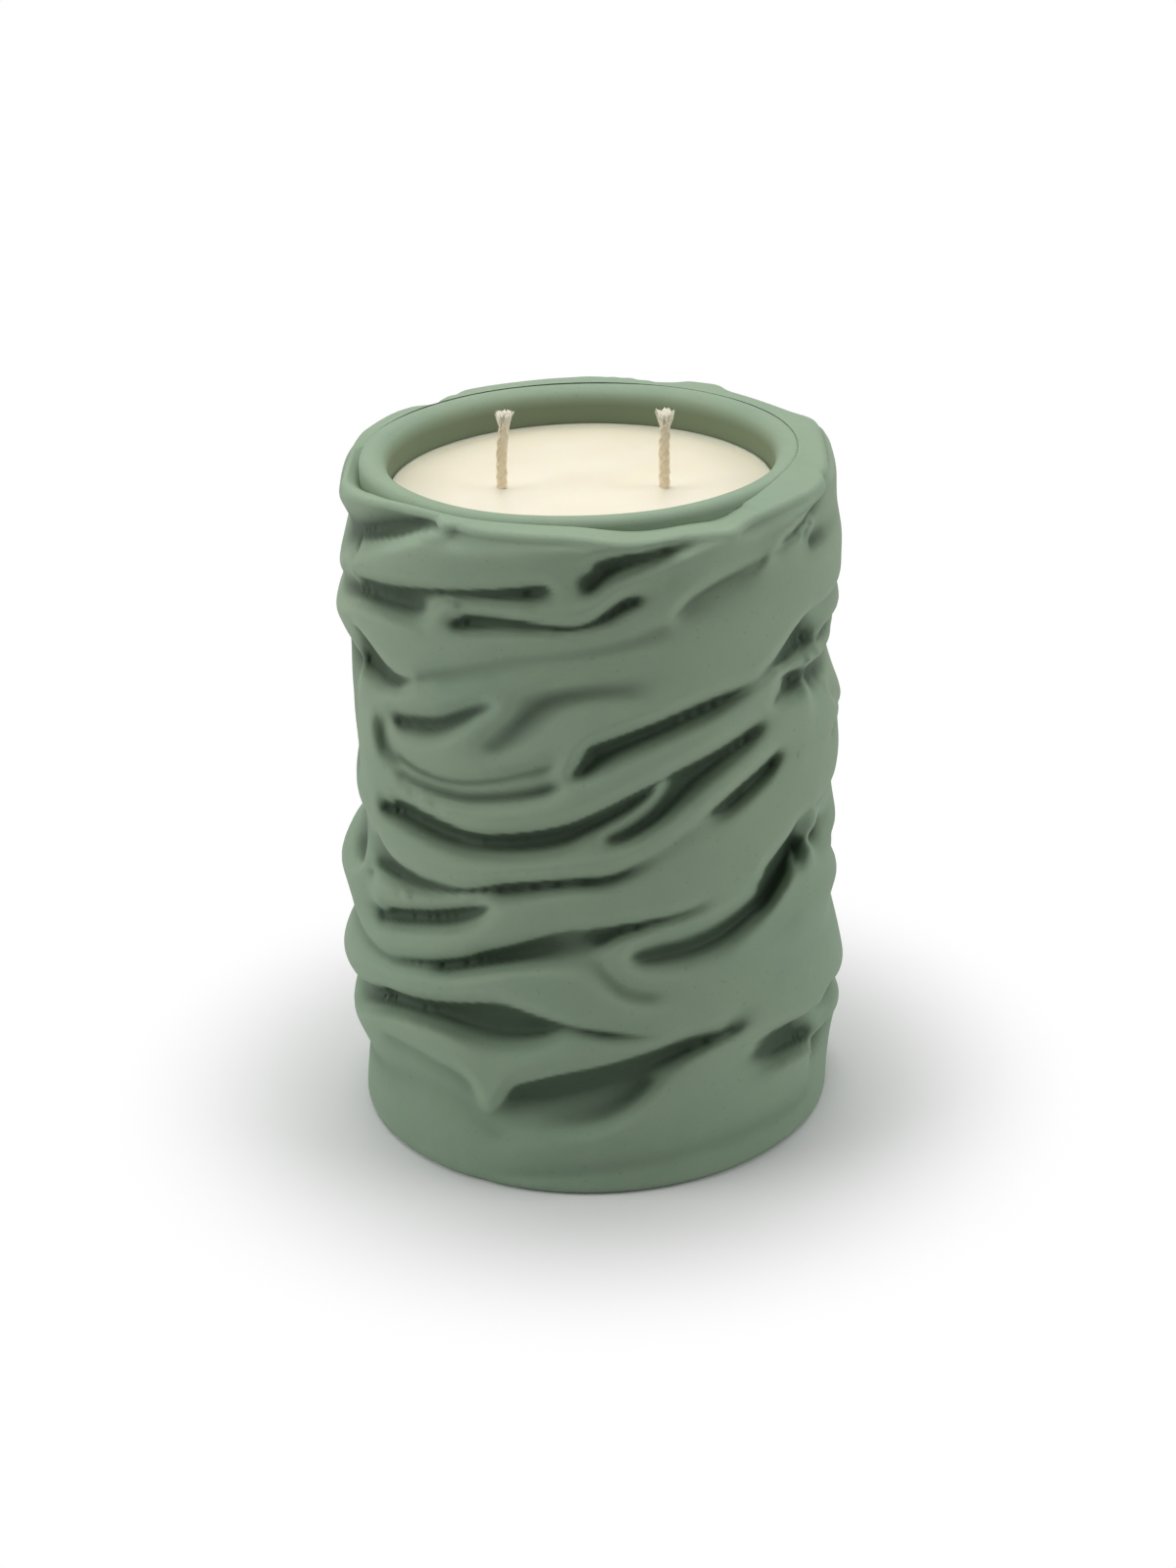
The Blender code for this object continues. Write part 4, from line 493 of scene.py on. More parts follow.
def true_place(angle, height, radius):
    """Where a point read at READ_R really lies, as (angle, height), if it stands at this radius."""
    turn = np.radians(angle)
    way = (READ_R * np.sin(turn) - EYE[0], -READ_R * np.cos(turn) - EYE[1], height - EYE[2])
    a = way[0] ** 2 + way[1] ** 2
    b = EYE[0] * way[0] + EYE[1] * way[1]
    c = EYE[0] ** 2 + EYE[1] ** 2 - radius**2
    reach = (-b - np.sqrt(np.maximum(b * b - a * c, 0.0))) / a
    x, y, z = (start + step * reach for start, step in zip(EYE, way))
    return np.degrees(np.arctan2(x, -y)), z


def facing_share(angle):
    """1 where the sheet faces the viewer, falling to 0 at its sides."""
    share = np.clip((SEEN_TO - np.abs(near_turn(angle))) / (SEEN_TO - FACING_TO), 0, 1)
    return share * share * (3 - 2 * share)


def set_back(angle, height, radius):
    """Moves a place on the relief map to its place on the sheet, along the viewer's line of sight."""
    share = facing_share(angle)
    true_angle, true_height = true_place(angle, height, radius)
    return angle + share * (true_angle - angle), height + share * (true_height - height)


def map_place(angle, height, radius):
    """The place on the relief map for a point read at (angle, height): set_back turned round."""
    whole_turns = angle - near_turn(angle)
    angle = angle - whole_turns
    if abs(angle) > SEEN_TO:
        return angle + whole_turns, height
    target = true_place(angle, height, radius)
    for _ in range(12):
        reached = set_back(angle, height, radius)
        angle, height = angle + target[0] - reached[0], height + target[1] - reached[1]
    return float(angle + whole_turns), float(height)


def smooth_line(points, radii, step=0.25):
    """A Catmull-Rom curve through points of (angle, height, radius), sampled every step mm."""
    knots = np.column_stack([points, radii])
    knots = np.vstack([2 * knots[0] - knots[1], knots, 2 * knots[-1] - knots[-2]])
    pieces = []
    for p0, p1, p2, p3 in zip(knots, knots[1:], knots[2:], knots[3:]):
        length = math.hypot(math.radians(p2[0] - p1[0]) * READ_R, p2[1] - p1[1])
        t = np.linspace(0, 1, max(2, int(length / step)))[:, None]
        pieces.append(
            0.5 * (2 * p1 + (p2 - p0) * t + (2 * p0 - 5 * p1 + 4 * p2 - p3) * t**2)
            + 0.5 * (3 * p1 - p0 - 3 * p2 + p3) * t**3
        )
    return np.vstack(pieces)


ROUND_MAP = np.array([math.radians(READ_R), 1.0])
HIGHEST_R = max(np.max(radii) for radii, _ in CRESTS.values()) + 0.4


def unrolled(radius):
    """Share from 0 to 1 that rolled() turns into this radius."""
    share = (np.asarray(radius) - LOWEST_R) / (HIGHEST_R - LOWEST_R)
    return np.arcsin(np.clip(share, 0, 1)) * 2 / math.pi


def rolled(share):
    """Radius for a share from 0 to 1, so that folds come out round on top and pinched in the creases."""
    return LOWEST_R + (HIGHEST_R - LOWEST_R) * np.sin(np.clip(share, 0, 1) * math.pi / 2)


class ReliefMap:
    """The drape's outer radius and the tuck of its folds, over angle and height."""

    def __init__(self, columns, rows):
        self.columns, self.rows = columns, rows
        self.row_step = READ_HEIGHT / (rows - 1)
        self.held = np.zeros((2, columns, rows))
        self.weight = np.zeros((2, columns, rows))

    def hold(self, layer, line, values):
        """Draws a layer (0 radius, 1 tuck) to the values given along a line."""
        column, row = line[:, 0] / 360 * self.columns, line[:, 1] / self.row_step
        values = np.broadcast_to(values, len(line))
        for next_column in (0, 1):
            for next_row in (0, 1):
                c, r = np.floor(column).astype(int) + next_column, np.floor(row).astype(int) + next_row
                near = (1 - np.abs(column - c)) * (1 - np.abs(row - r))
                inside = (r >= 0) & (r < self.rows)
                at = (c[inside] % self.columns, r[inside])
                np.add.at(self.held[layer], at, (near * values)[inside])
                np.add.at(self.weight[layer], at, near[inside])

    def crest(self, radii, points, closed=False):
        radii = in_sight(radii, points)
        placed = [map_place(a, z, r) for (a, z), r in zip(points, radii)]
        line = smooth_line(placed, radii)
        self.hold(0, line, unrolled(line[:, 2]))

    def lap(self, above, below, points, closed=False):
        """A step in the sheet, whose outer side bulges over the inner one and dies out at its ends."""
        above, below = in_sight(above, points), in_sight(below, points)
        outer = np.maximum(above, below)
        placed = [map_place(a, z, r) for (a, z), r in zip(points, outer)]
        upper, lower = smooth_line(placed, above), smooth_line(placed, below)
        run = np.gradient(upper[:, :2] * ROUND_MAP, axis=0)
        run /= np.maximum(np.hypot(run[:, 0], run[:, 1]), 1e-9)[:, None]
        across = np.column_stack([-run[:, 1], run[:, 0]]) * np.sign(run[:, :1] + 1e-9) / ROUND_MAP
        if not closed:
            length = np.append(0, np.cumsum(np.hypot(*(np.diff(upper[:, :2], axis=0) * ROUND_MAP).T)))
            open_share = np.clip(np.minimum(length, length[-1] - length) / LAP_ENDS, 0, 1)
            lower[:, 2] = upper[:, 2] + (lower[:, 2] - upper[:, 2]) * np.sin(open_share * math.pi / 2)
        rise = upper[:, 2] - lower[:, 2]
        tuck = TUCK * (2 - facing_share(upper[:, 0])) * np.clip(rise / 5, -1, 1) * np.abs(run[:, 0])
        for side, line, amount in ((1, upper, -tuck), (-1, lower, 0.5 * tuck)):
            moved = line.copy()
            moved[:, :2] += side * LIP_STEP * across
            inset = 0.5 if side * np.sign(rise.mean()) > 0 else 0.0
            self.hold(0, moved, unrolled(line[:, 2] - inset))
            self.hold(1, moved, amount)
            if side * np.sign(rise.mean()) > 0:
                moved = line.copy()
                moved[:, :2] += side * 3 * LIP_STEP * across
                self.hold(0, moved, unrolled(line[:, 2]))
                self.hold(1, moved, 0.5 * amount)

    def relax(self, layer, level, leak, passes):
        """Spreads the held values over the rest of the grid, like a film stretched over wires."""
        weight = self.weight[layer]
        target = self.held[layer] / np.maximum(weight, 1e-9)
        pull = STIFF * np.minimum(weight, 1) ** 2
        values = np.where(weight > 0, target, level)
        for stride, count in zip((8, 4, 2, 1), passes):
            for _ in range(count):
                around = np.roll(values, stride, 0) + np.roll(values, -stride, 0)
                padded = np.pad(values, ((0, 0), (stride, stride)), mode="edge")
                spread = (around + padded[:, : -2 * stride] + padded[:, 2 * stride :]) / 4
                spread = level + (spread - level) * leak ** (stride * stride)
                values = (spread + pull * target) / (1 + pull)
        return values


def blurred(values, sigma_mm):
    """Gaussian blur that runs round the columns and stops at the ends of the rows."""
    sigma_columns = sigma_mm / (2 * math.pi * READ_R / values.shape[0])
    sigma_rows = sigma_mm / (READ_HEIGHT / (values.shape[1] - 1))
    reach = math.ceil(2.5 * max(sigma_columns, sigma_rows))
    return spread(spread(values, 0, sigma_columns, reach), 1, sigma_rows, reach, ends="clip")


def round_table(table, angles):
    """Values of a (true angle, value) table at these angles, smoothly and without a seam."""
    knots, values = np.array(table).T
    fine = spread(np.interp(np.arange(-180, 180, 0.5), knots, values), 0, 6, 18)
    return np.interp(np.mod(angles + 180, 360), np.arange(0, 360.5, 0.5), np.append(fine, fine[0]))


def all_round(kind, name, *lines):
    """A front fold with its mirrored run round the back, joined where it crosses a side.

    Returns the pieces to draw, each as its lines of radii, its points and whether it closes on itself.
    """
    *radii, points = lines
    front = np.column_stack([*(along(values, len(points)) for values in radii), points])
    kept = front[np.abs(front[:, -2]) <= BACK_REACH]
    if name in NOT_BEHIND or len(kept) < 2:
        return [(*front[:, :-2].T, front[:, -2:], False)]
    back = kept[::-1].copy()
    back[:, -1] += BACK_SWAY * np.sin(np.radians(BACK_SWAY_TURN * back[:, -2] + BACK_SWAY_FROM))
    back[:, -2] = 180 - BACK_SPREAD * back[:, -2]
    again = front.copy()
    again[:, -2] += 360
    right, left = (SIDES[side][kind].get(name) for side in ("right", "left"))
    across = []
    for join, start, end in ((right, front, back), (left, back, again)):
        if join:
            across.append(np.array([[*join[1:], (start[-1, -2] + end[0, -2]) / 2, join[0]]]))
        else:
            across.append(None)
    if right and left:
        runs = [np.vstack([front, across[0], back, across[1], again[:2]])]
    elif right:
        runs = [np.vstack([front, across[0], back])]
    elif left:
        runs = [np.vstack([back, across[1], again])]
    else:
        runs = [front, back]
    return [(*run[:, :-2].T, run[:, -2:], bool(right and left)) for run in runs]


def drape_relief():
    """The relief map as two grids over angle and height: thickness over the cup, and tuck."""
    relief = ReliefMap(MAP_COLUMNS, MAP_ROWS)
    valleys = {}
    for name, (radii, points) in VALLEYS.items():
        deeper = CREASE_FROM_R - CREASE_DEEPEN * (CREASE_FROM_R - along(radii, len(points)))
        valleys[name] = (np.maximum(deeper, LOWEST_R), points)
    for kind, lines in (("crests", CRESTS), ("valleys", valleys), ("laps", LAPS)):
        draw = relief.lap if kind == "laps" else relief.crest
        for name, line in lines.items():
            for piece in all_round(kind, name, *line):
                draw(*piece)
    round_back = np.arange(-180, 180, 0.3)
    top = READ_HEIGHT - round_table(TOP_EDGE, round_back)
    rim = round_table(TOP_RADIUS, round_back)
    relief.hold(0, np.column_stack([round_back, top]), unrolled(rim))
    relief.hold(0, np.column_stack([round_back, np.full(len(round_back), READ_HEIGHT)]), unrolled(rim))
    for height in (0.0, 2.0):
        ring = np.column_stack([round_back, np.full(len(round_back), height)])
        relief.hold(0, ring, unrolled(READ_FOOT_R))
    radius = rolled(relief.relax(0, float(unrolled(READ_FOOT_R)), 1.0, (60, 80, 150, 400)))
    tuck = relief.relax(1, 0.0, 0.95, (0, 0, 30, 60))
    laps = blurred(np.minimum(relief.weight[1], 1.0), CRISP_REACH)
    soft = 1 - np.clip(4 * laps, 0, 1)
    radius = (1 - soft) * blurred(radius, 0.45) + soft * blurred(radius, SOFT_BLUR)
    tuck = blurred(tuck, 0.7)
    return np.maximum(radius - READ_INNER_R, DRAPE_THINNEST), tuck


def sampled(grid, angles, heights):
    """Bilinear values of a relief grid at angles (degrees) and heights (mm on the read scale)."""
    column = np.mod(angles / 360 * grid.shape[0], grid.shape[0])
    row = np.clip(heights / READ_HEIGHT * (grid.shape[1] - 1), 0, grid.shape[1] - 1.001)
    c0, r0 = column.astype(int), row.astype(int)
    fc, fr = column - c0, row - r0
    c1 = (c0 + 1) % grid.shape[0]
    low = grid[c0, r0] * (1 - fc) + grid[c1, r0] * fc
    high = grid[c0, r0 + 1] * (1 - fc) + grid[c1, r0 + 1] * fc
    return low * (1 - fr) + high * fr


def drape_skin(columns, rows):
    """Rings of points up the drape's outer surface and over its top edge, as (ring, column, xyz)."""
    thickness, tuck = drape_relief()
    angles = np.arange(columns) * 360.0 / columns - 180.0
    top = READ_HEIGHT - round_table(TOP_EDGE, angles) - EDGE_ROUND
    foot = DRAPE_FOOT_THICK / (READ_FOOT_R - READ_INNER_R)
    rings = []
    for share in np.linspace(0, 1, rows):
        height = share * top
        fade = np.clip(np.minimum(height / FOOT_FADE, (top - height) / EDGE_FADE), 0, 1)
        thick = sampled(thickness, angles, height)
        angle, place = set_back(angles, height, READ_INNER_R + thick)
        place = place + sampled(tuck, angles, height)
        turned_by = fade * (angle - angles)
        rings.append((DRAPE_INNER_R + foot * thick, angles + turned_by, height + fade * (place - height)))
    outer = rings[-1][0]
    for turn in (25, 50, 75, 90):
        bend = math.radians(turn)
        rings.append((outer - EDGE_ROUND * (1 - math.cos(bend)), angles, top + EDGE_ROUND * math.sin(bend)))
    rings.append((np.full(columns, DRAPE_INNER_R - 2.0), angles, top + EDGE_ROUND))
    raised = CUP_HEIGHT / READ_HEIGHT
    return np.array([around_axis(r, np.radians(a), z * raised) for r, a, z in rings])


def arc(r, z, radius, start, end, steps):
    """Points of a profile along an arc round (r, z), with angles in degrees from the outward direction."""
    turns = np.radians(np.linspace(start, end, steps))
    return [(r + radius * math.cos(turn), z + radius * math.sin(turn)) for turn in turns]


class Value:
    """A node socket that adds Math nodes when it is used in an expression."""

    def __init__(self, shader, socket):
        self.shader, self.socket = shader, socket

    def maths(self, operation, *others):
        return self.shader.node("ShaderNodeMath", {"operation": operation}, self, *others)

    def __rsub__(self, other):
        return self.shader.node("ShaderNodeMath", {"operation": "SUBTRACT"}, other, self)

    def held(self):
        """The value kept between 0 and 1."""
        return self.maths("MAXIMUM", 0.0).maths("MINIMUM", 1.0)

    __add__ = __radd__ = partialmethod(maths, "ADD")
    __mul__ = __rmul__ = partialmethod(maths, "MULTIPLY")
    __sub__ = partialmethod(maths, "SUBTRACT")
    __truediv__ = partialmethod(maths, "DIVIDE")


class Shader:
    """A material and one method that adds any node to it."""

    def __init__(self, name, preview):
        self.material = bpy.data.materials.new(name)
        self.material.use_nodes = True
        self.material.diffuse_color = (*preview, 1.0)
        self.tree = self.material.node_tree
        self.tree.nodes.clear()
        self.place = self.node("ShaderNodeTexCoord", output="Object")

    def node(self, kind, settings=None, *inputs, output=0, **named):
        """Adds a node: its settings first, then the values or links of its sockets. Returns one output."""
        made = self.tree.nodes.new(kind)
        for key, value in (settings or {}).items():
            if key == "stops":
                self.set_stops(made.color_ramp, value)
            else:
                setattr(made, key, value)
        sockets = [s for s in made.inputs if s.enabled] if kind != "ShaderNodeMath" else made.inputs
        given = list(zip(sockets, inputs)) + [(made.inputs[key], value) for key, value in named.items()]
        for socket, value in given:
            if isinstance(value, Value):
                self.tree.links.new(value.socket, socket)
            else:
                socket.default_value = value
        shown = [s for s in made.outputs if s.enabled]
        if shown:
            return Value(self, made.outputs[output] if isinstance(output, str) else shown[output])

    def set_stops(self, ramp, stops):
        while len(ramp.elements) < len(stops):
            ramp.elements.new(0.5)
        for element, (place, colour) in zip(ramp.elements, stops):
            element.position = place
            element.color = (*colour, 1.0)

    def noise(self, scale, detail=3.0, roughness=0.5, stretch=None):
        """Noise of this many features per metre, from 0 to 1."""
        place = self.place
        if stretch:
            place = self.node("ShaderNodeMapping", None, place, Scale=stretch)
        settings = {"Vector": place, "Scale": scale, "Detail": detail, "Roughness": roughness}
        return self.node("ShaderNodeTexNoise", **settings)

    def height(self):
        return self.node("ShaderNodeSeparateXYZ", None, self.place, output="Z")

    def reach(self, flat=True):
        """Distance from the object's axis, or from its origin."""
        place = self.place
        if flat:
            place = self.node("ShaderNodeVectorMath", {"operation": "MULTIPLY"}, place, (1.0, 1.0, 0.0))
        return self.node("ShaderNodeVectorMath", {"operation": "LENGTH"}, place, output="Value")

    def blend(self, factor, first, second):
        colours = [(*c, 1.0) if isinstance(c, tuple) else c for c in (first, second)]
        return self.node("ShaderNodeMix", {"data_type": "RGBA"}, factor, *colours)

    def ramp(self, factor, *stops):
        return self.node("ShaderNodeValToRGB", {"stops": stops}, factor)

    def bump(self, height, distance, strength=1.0):
        return self.node("ShaderNodeBump", None, Height=height, Distance=distance, Strength=strength)

    def finish(self, surface):
        self.node("ShaderNodeOutputMaterial", None, Surface=surface)
        return self.material

    def coat(self, tone, roughness, normal, **more):
        """The finished material, with one principled shader."""
        settings = {"Base Color": tone, "Roughness": roughness, "Normal": normal, **more}
        return self.finish(self.node("ShaderNodeBsdfPrincipled", **settings))


def sage_clay(name, painted_relief_shade):
    """Matte sage clay: faint clouding, fine grain, pin specks, darker towards the foot, and painted shade: in
    the drape's creases with a painted highlight on its crests, or down the cup's inner wall.
    """
    sh = Shader(name, SAGE)
    cloud = sh.noise(28, 3, 0.55)
    mottle = sh.noise(140, 4, 0.6)
    grain = sh.noise(1900, 3, 0.6)
    specks = sh.noise(950, 1, 0.4)
    height = sh.height()
    tone = sh.ramp(cloud, (0.3, SAGE_COOL), (0.52, SAGE), (0.75, SAGE_WARM))
    tone = sh.blend((1 - height / (90 * MM)).held() * 0.7, tone, SAGE_FOOT)
    tone = sh.blend((mottle - 0.5) * 0.5 + 0.25, tone, SAGE_PALE)
    tone = sh.blend(((specks - 0.68) * 9).held() * 0.35, tone, SAGE_SPECK)
    if painted_relief_shade:
        # Painted shade in the creases and a painted highlight on the crests, from depths stored on the sheet
        for depth, most, colour in (("hollow", CREASE_SHADE_MOST, SAGE_CREASE_SHADE), ("proud", CREST_HIGHLIGHT_MOST, SAGE_PALE)):
            share = sh.node("ShaderNodeAttribute", {"attribute_name": depth}, output="Fac")
            tone = sh.blend(share.held() * most, tone, colour)
    else:
        # Painted shade: the inner wall darker down the well, below the lip
        inside = (((CUP_INNER_R + 2.4) * MM - sh.reach()) / (2.0 * MM)).held()
        well_shade = (((CUP_HEIGHT - 0.8) * MM - height) / (3 * MM)).held()
        tone = sh.blend(inside * well_shade * 0.72, tone, SAGE_WELL_SHADE)
    relief = mottle * 0.5 + grain * 0.35 + cloud * 0.6
    rough = 0.70 + (mottle - 0.5) * 0.12
    return sh.coat(tone, rough, sh.bump(relief, 0.00022, 0.55), **{"Specular IOR Level": 0.25})


def cream_wax():
    """Soft cream wax: milky depth, cloudy tone, painted shade towards the cup wall, a faintly dimpled and
    hazy surface.
    """
    sh = Shader("wax_cream", CREAM)
    cloud = sh.noise(45, 3, 0.5)
    fine = sh.noise(700, 3, 0.6)
    frost = sh.noise(160, 4, 0.65)
    tone = sh.ramp(cloud, (0.3, CREAM_WARM), (0.7, CREAM))
    tone = sh.blend(((frost - 0.55) * 3).held() * 0.25, tone, CREAM_PALE)
    # Painted shade: darker and warmer towards the cup wall
    edge = ((sh.reach() - 24 * MM) / ((WAX_R - 24) * MM)).held()
    tone = sh.blend(edge * edge * 0.75, tone, CREAM_WALL_SHADE)
    relief = cloud * 1.2 + frost * 0.25 + fine * 0.06
    depth = {"Subsurface Weight": 0.55, "Subsurface Radius": (1.0, 0.75, 0.45), "Subsurface Scale": 0.004}
    rough = 0.42 + (frost - 0.5) * 0.15
    return sh.coat(tone, rough, sh.bump(relief, 0.0003, 0.5), **depth, **{"Specular IOR Level": 0.4})


def wick_cotton():
    """Waxed cotton: fine lengthwise fibres, tanner low down where it has soaked up wax."""
    sh = Shader("wick_cotton", COTTON)
    fibres = sh.noise(2600, 3, 0.6, stretch=(1.0, 1.0, 0.16))
    blotch = sh.noise(420, 3, 0.6)
    height = sh.height()
    dry = ((height - (WAX_TOP + 8.0) * MM) / (7.5 * MM)).held()
    tone = sh.blend(dry, COTTON_WAXED, COTTON)
    tone = sh.blend(((fibres - 0.45) * 2.2).held() * 0.45, tone, COTTON_PALE)
    tone = sh.blend(((blotch - 0.55) * 3).held() * 0.22, tone, COTTON_SHADE)
    frayed = ((height - (WAX_TOP + WICK_ABOVE_WAX - 3.6) * MM) / (1.8 * MM)).held()
    tone = sh.blend(frayed, tone, COTTON_FRAYED)
    return sh.coat(tone, 0.85, sh.bump(fibres, 0.00012, 0.8), **{"Sheen Weight": 0.25})


def pressed_tin():
    """Tinned steel of the wick clips: fine drawing lines and dull handling marks."""
    sh = Shader("clip_tin", (0.62, 0.62, 0.60))
    lines = sh.noise(900, 3, 0.6, stretch=(0.08, 1.0, 1.0))
    marks = sh.noise(220, 3, 0.6)
    tone = sh.ramp(marks, (0.35, (0.50, 0.50, 0.49)), (0.7, (0.70, 0.70, 0.68)))
    return sh.coat(tone, 0.28 + lines * 0.2, sh.bump(lines, 0.00002, 0.5), Metallic=1.0)


def sticker_foam():
    """Closed-cell foam of the adhesive discs: small cells over an off-white tone."""
    sh = Shader("sticker_foam", (0.80, 0.80, 0.78))
    cells = sh.node("ShaderNodeTexVoronoi", None, Vector=sh.place, Scale=2400.0, output="Distance")
    tone = sh.blend(cells.held(), (0.84, 0.84, 0.81), (0.66, 0.66, 0.63))
    return sh.coat(tone, 0.85, sh.bump(cells, 0.00006, 0.6))


def white_studio(name):
    """Pale paper with the object's soft shadow near it, that the camera sees as plain white further out."""
    sh = Shader(name, (0.9, 0.9, 0.9))
    kinds = ("Camera", "Glossy", "Transmission")
    seen, glossy, through = (sh.node("ShaderNodeLightPath", output=f"Is {kind} Ray") for kind in kinds)
    direct = (seen + glossy + through).held()
    reach = sh.reach(flat=False)
    clear = ((reach - FLOOR_SHADE_FROM * MM) / ((FLOOR_SHADE_TO - FLOOR_SHADE_FROM) * MM)).held()
    clear = sh.node("ShaderNodeMapRange", {"interpolation_type": "SMOOTHSTEP"}, clear)
    paper = sh.node("ShaderNodeBsdfDiffuse", None, Color=(FLOOR_LIT, FLOOR_LIT, FLOOR_LIT, 1.0))
    faint = sh.node("ShaderNodeEmission", None, Color=(1.0, 1.0, 1.0, 1.0), Strength=direct * FLOOR_GLOW)
    near = sh.node("ShaderNodeAddShader", None, paper, faint)
    white = sh.node("ShaderNodeEmission", None, Color=(1.0, 1.0, 1.0, 1.0), Strength=1.0)
    return sh.finish(sh.node("ShaderNodeMixShader", None, clear * direct, near, white))


def added(name, data):
    """A new object in the scene."""
    obj = bpy.data.objects.new(name, data)
    bpy.context.scene.collection.objects.link(obj)
    return obj


def meshed(name, bm, material):
    """A new object from a finished bmesh, in this material."""
    mesh = bpy.data.meshes.new(name)
    bm.to_mesh(mesh)
    bm.free()
    mesh.materials.append(material)
    return added(name, mesh)


def piece(name, bm, material, replaced):
    """A finished piece: smooth, in metres, riding on the body and standing for its CAD node."""
    bmesh.ops.scale(bm, vec=(MM, MM, MM), verts=bm.verts)
    obj = meshed(name, bm, material)
    for polygon in obj.data.polygons:
        polygon.use_smooth = True
    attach(obj, "root")
    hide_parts(replaced)
    return obj


def spun(profile):
    """A turned body from a profile of (radius, height) points whose ends lie on the axis."""
    bm = bmesh.new()
    verts = [bm.verts.new((r, 0, z)) for r, z in profile]
    edges = [bm.edges.new(pair) for pair in zip(verts, verts[1:])]
    whole = {"axis": (0, 0, 1), "angle": 2 * math.pi, "steps": TURN_STEPS, "use_merge": True}
    bmesh.ops.spin(bm, geom=verts + edges, cent=(0, 0, 0), **whole)
    bmesh.ops.remove_doubles(bm, verts=bm.verts, dist=1e-4)
    bmesh.ops.recalc_face_normals(bm, faces=bm.faces)
    return bm


def make_cup(material):
    """Hand-finished turned cup: soft rolled lip, straight well and a small foot round."""
    foot, outer, inner, corner = FOOT_ROUND, LIP_OUTER_ROUND, LIP_INNER_ROUND, WELL_CORNER_ROUND
    profile = [(0.0, 0.0), (20.0, 0.0)]
    profile += arc(CUP_OUTER_R - foot, foot, foot, -90, 0, 5)
    profile += [(CUP_OUTER_R, z) for z in np.linspace(4, CUP_HEIGHT - 6, 24)]
    profile += arc(CUP_OUTER_R - outer, CUP_HEIGHT - outer, outer, 0, 90, 10)
    profile += arc(CUP_INNER_R + inner, CUP_HEIGHT - inner, inner, 90, 180, 12)
    profile += [(CUP_INNER_R, z) for z in np.linspace(CUP_HEIGHT - 6, 16, 12)]
    profile += arc(CUP_INNER_R - corner, CUP_FLOOR + corner, corner, 0, -90, 6)
    profile += [(15.0, CUP_FLOOR), (0.0, CUP_FLOOR)]
    bm = spun(profile)
    for vert in bm.verts:
        turn = math.atan2(vert.co.x, -vert.co.y)
        lip = max(0.0, min(1.0, (vert.co.z - CUP_HEIGHT + 9) / 8))
        sway = 0.16 * math.sin(3 * turn + 0.8) + 0.1 * math.sin(7 * turn + 2.1)
        vert.co.z += lip * (0.5 * sway - 0.13)
    return piece("cup_body", bm, material, "cup")


def softened_sides(skin):
    """The sheet's rings with the folds drawn out along their run at the left and right sides."""
    x, y, z = np.moveaxis(skin, 2, 0)
    base = np.arange(skin.shape[1]) * 2 * math.pi / skin.shape[1] - math.pi
    swing = np.mod(np.arctan2(x, -y) - base + math.pi, 2 * math.pi) - math.pi
    share = round_table(SIDE_SOFT, np.degrees(base))
    r, swing, z = (
        values + share * (spread(values, 1, SIDE_BLUR, 2 * SIDE_BLUR) - values)
        for values in (np.hypot(x, y), swing, z)
    )
    return around_axis(r, base + swing, z)


def sheet_rings():
    """The closed sheet in rings: folds on a rounded foot, the edge over or beside the lip, the inner face."""
    skin = softened_sides(drape_skin(DRAPE_COLUMNS, DRAPE_ROWS))
    drop = np.clip(1 - skin[:, :, 2] / SHEET_FOOT_ROUND, 0, 1)
    inset = SHEET_FOOT_ROUND * (1 - np.sqrt(1 - drop**2))
    skin[:, :, :2] *= (1 - inset / np.hypot(skin[:, :, 0], skin[:, :, 1]))[:, :, None]
    sweep = np.arange(DRAPE_COLUMNS) * 2 * math.pi / DRAPE_COLUMNS - math.pi
    joined = round_table(LIP_JOINED, np.degrees(sweep))
    top = skin[-1][:, 2] - round_table(LIP_GROOVE, np.degrees(sweep))
    inner, turned = CUP_OUTER_R + SHEET_FIT, LIP_OUTER_ROUND + SHEET_FIT
    centre = CUP_HEIGHT - LIP_OUTER_ROUND
    over = []
    for bend in np.radians(LIP_TURNS):
        r = inner - joined * turned * (1 - math.cos(bend))
        across = np.clip(r - (CUP_OUTER_R - LIP_OUTER_ROUND), 0, turned)
        clear = centre + np.sqrt(turned**2 - across**2)
        arch = np.maximum(top + joined * (centre + turned * math.sin(bend) - top), clear)
        over.append((r, np.where(joined > 0.01, arch, top)))
    last = np.hypot(skin[-2][:, 0], skin[-2][:, 1]), skin[-2][:, 2]
    nearly = [near + LIP_SUPPORT * (far - near) for near, far in zip(last, over[0])]
    low = over[-1][1]
    inside = [(inner, low - 1.5), (inner, low * 0.5), (inner, 0 * low)]
    rings = [*skin[:-1], *(around_axis(r, sweep, z) for r, z in (nearly, *over, *inside)), skin[0]]
    return np.array(rings)


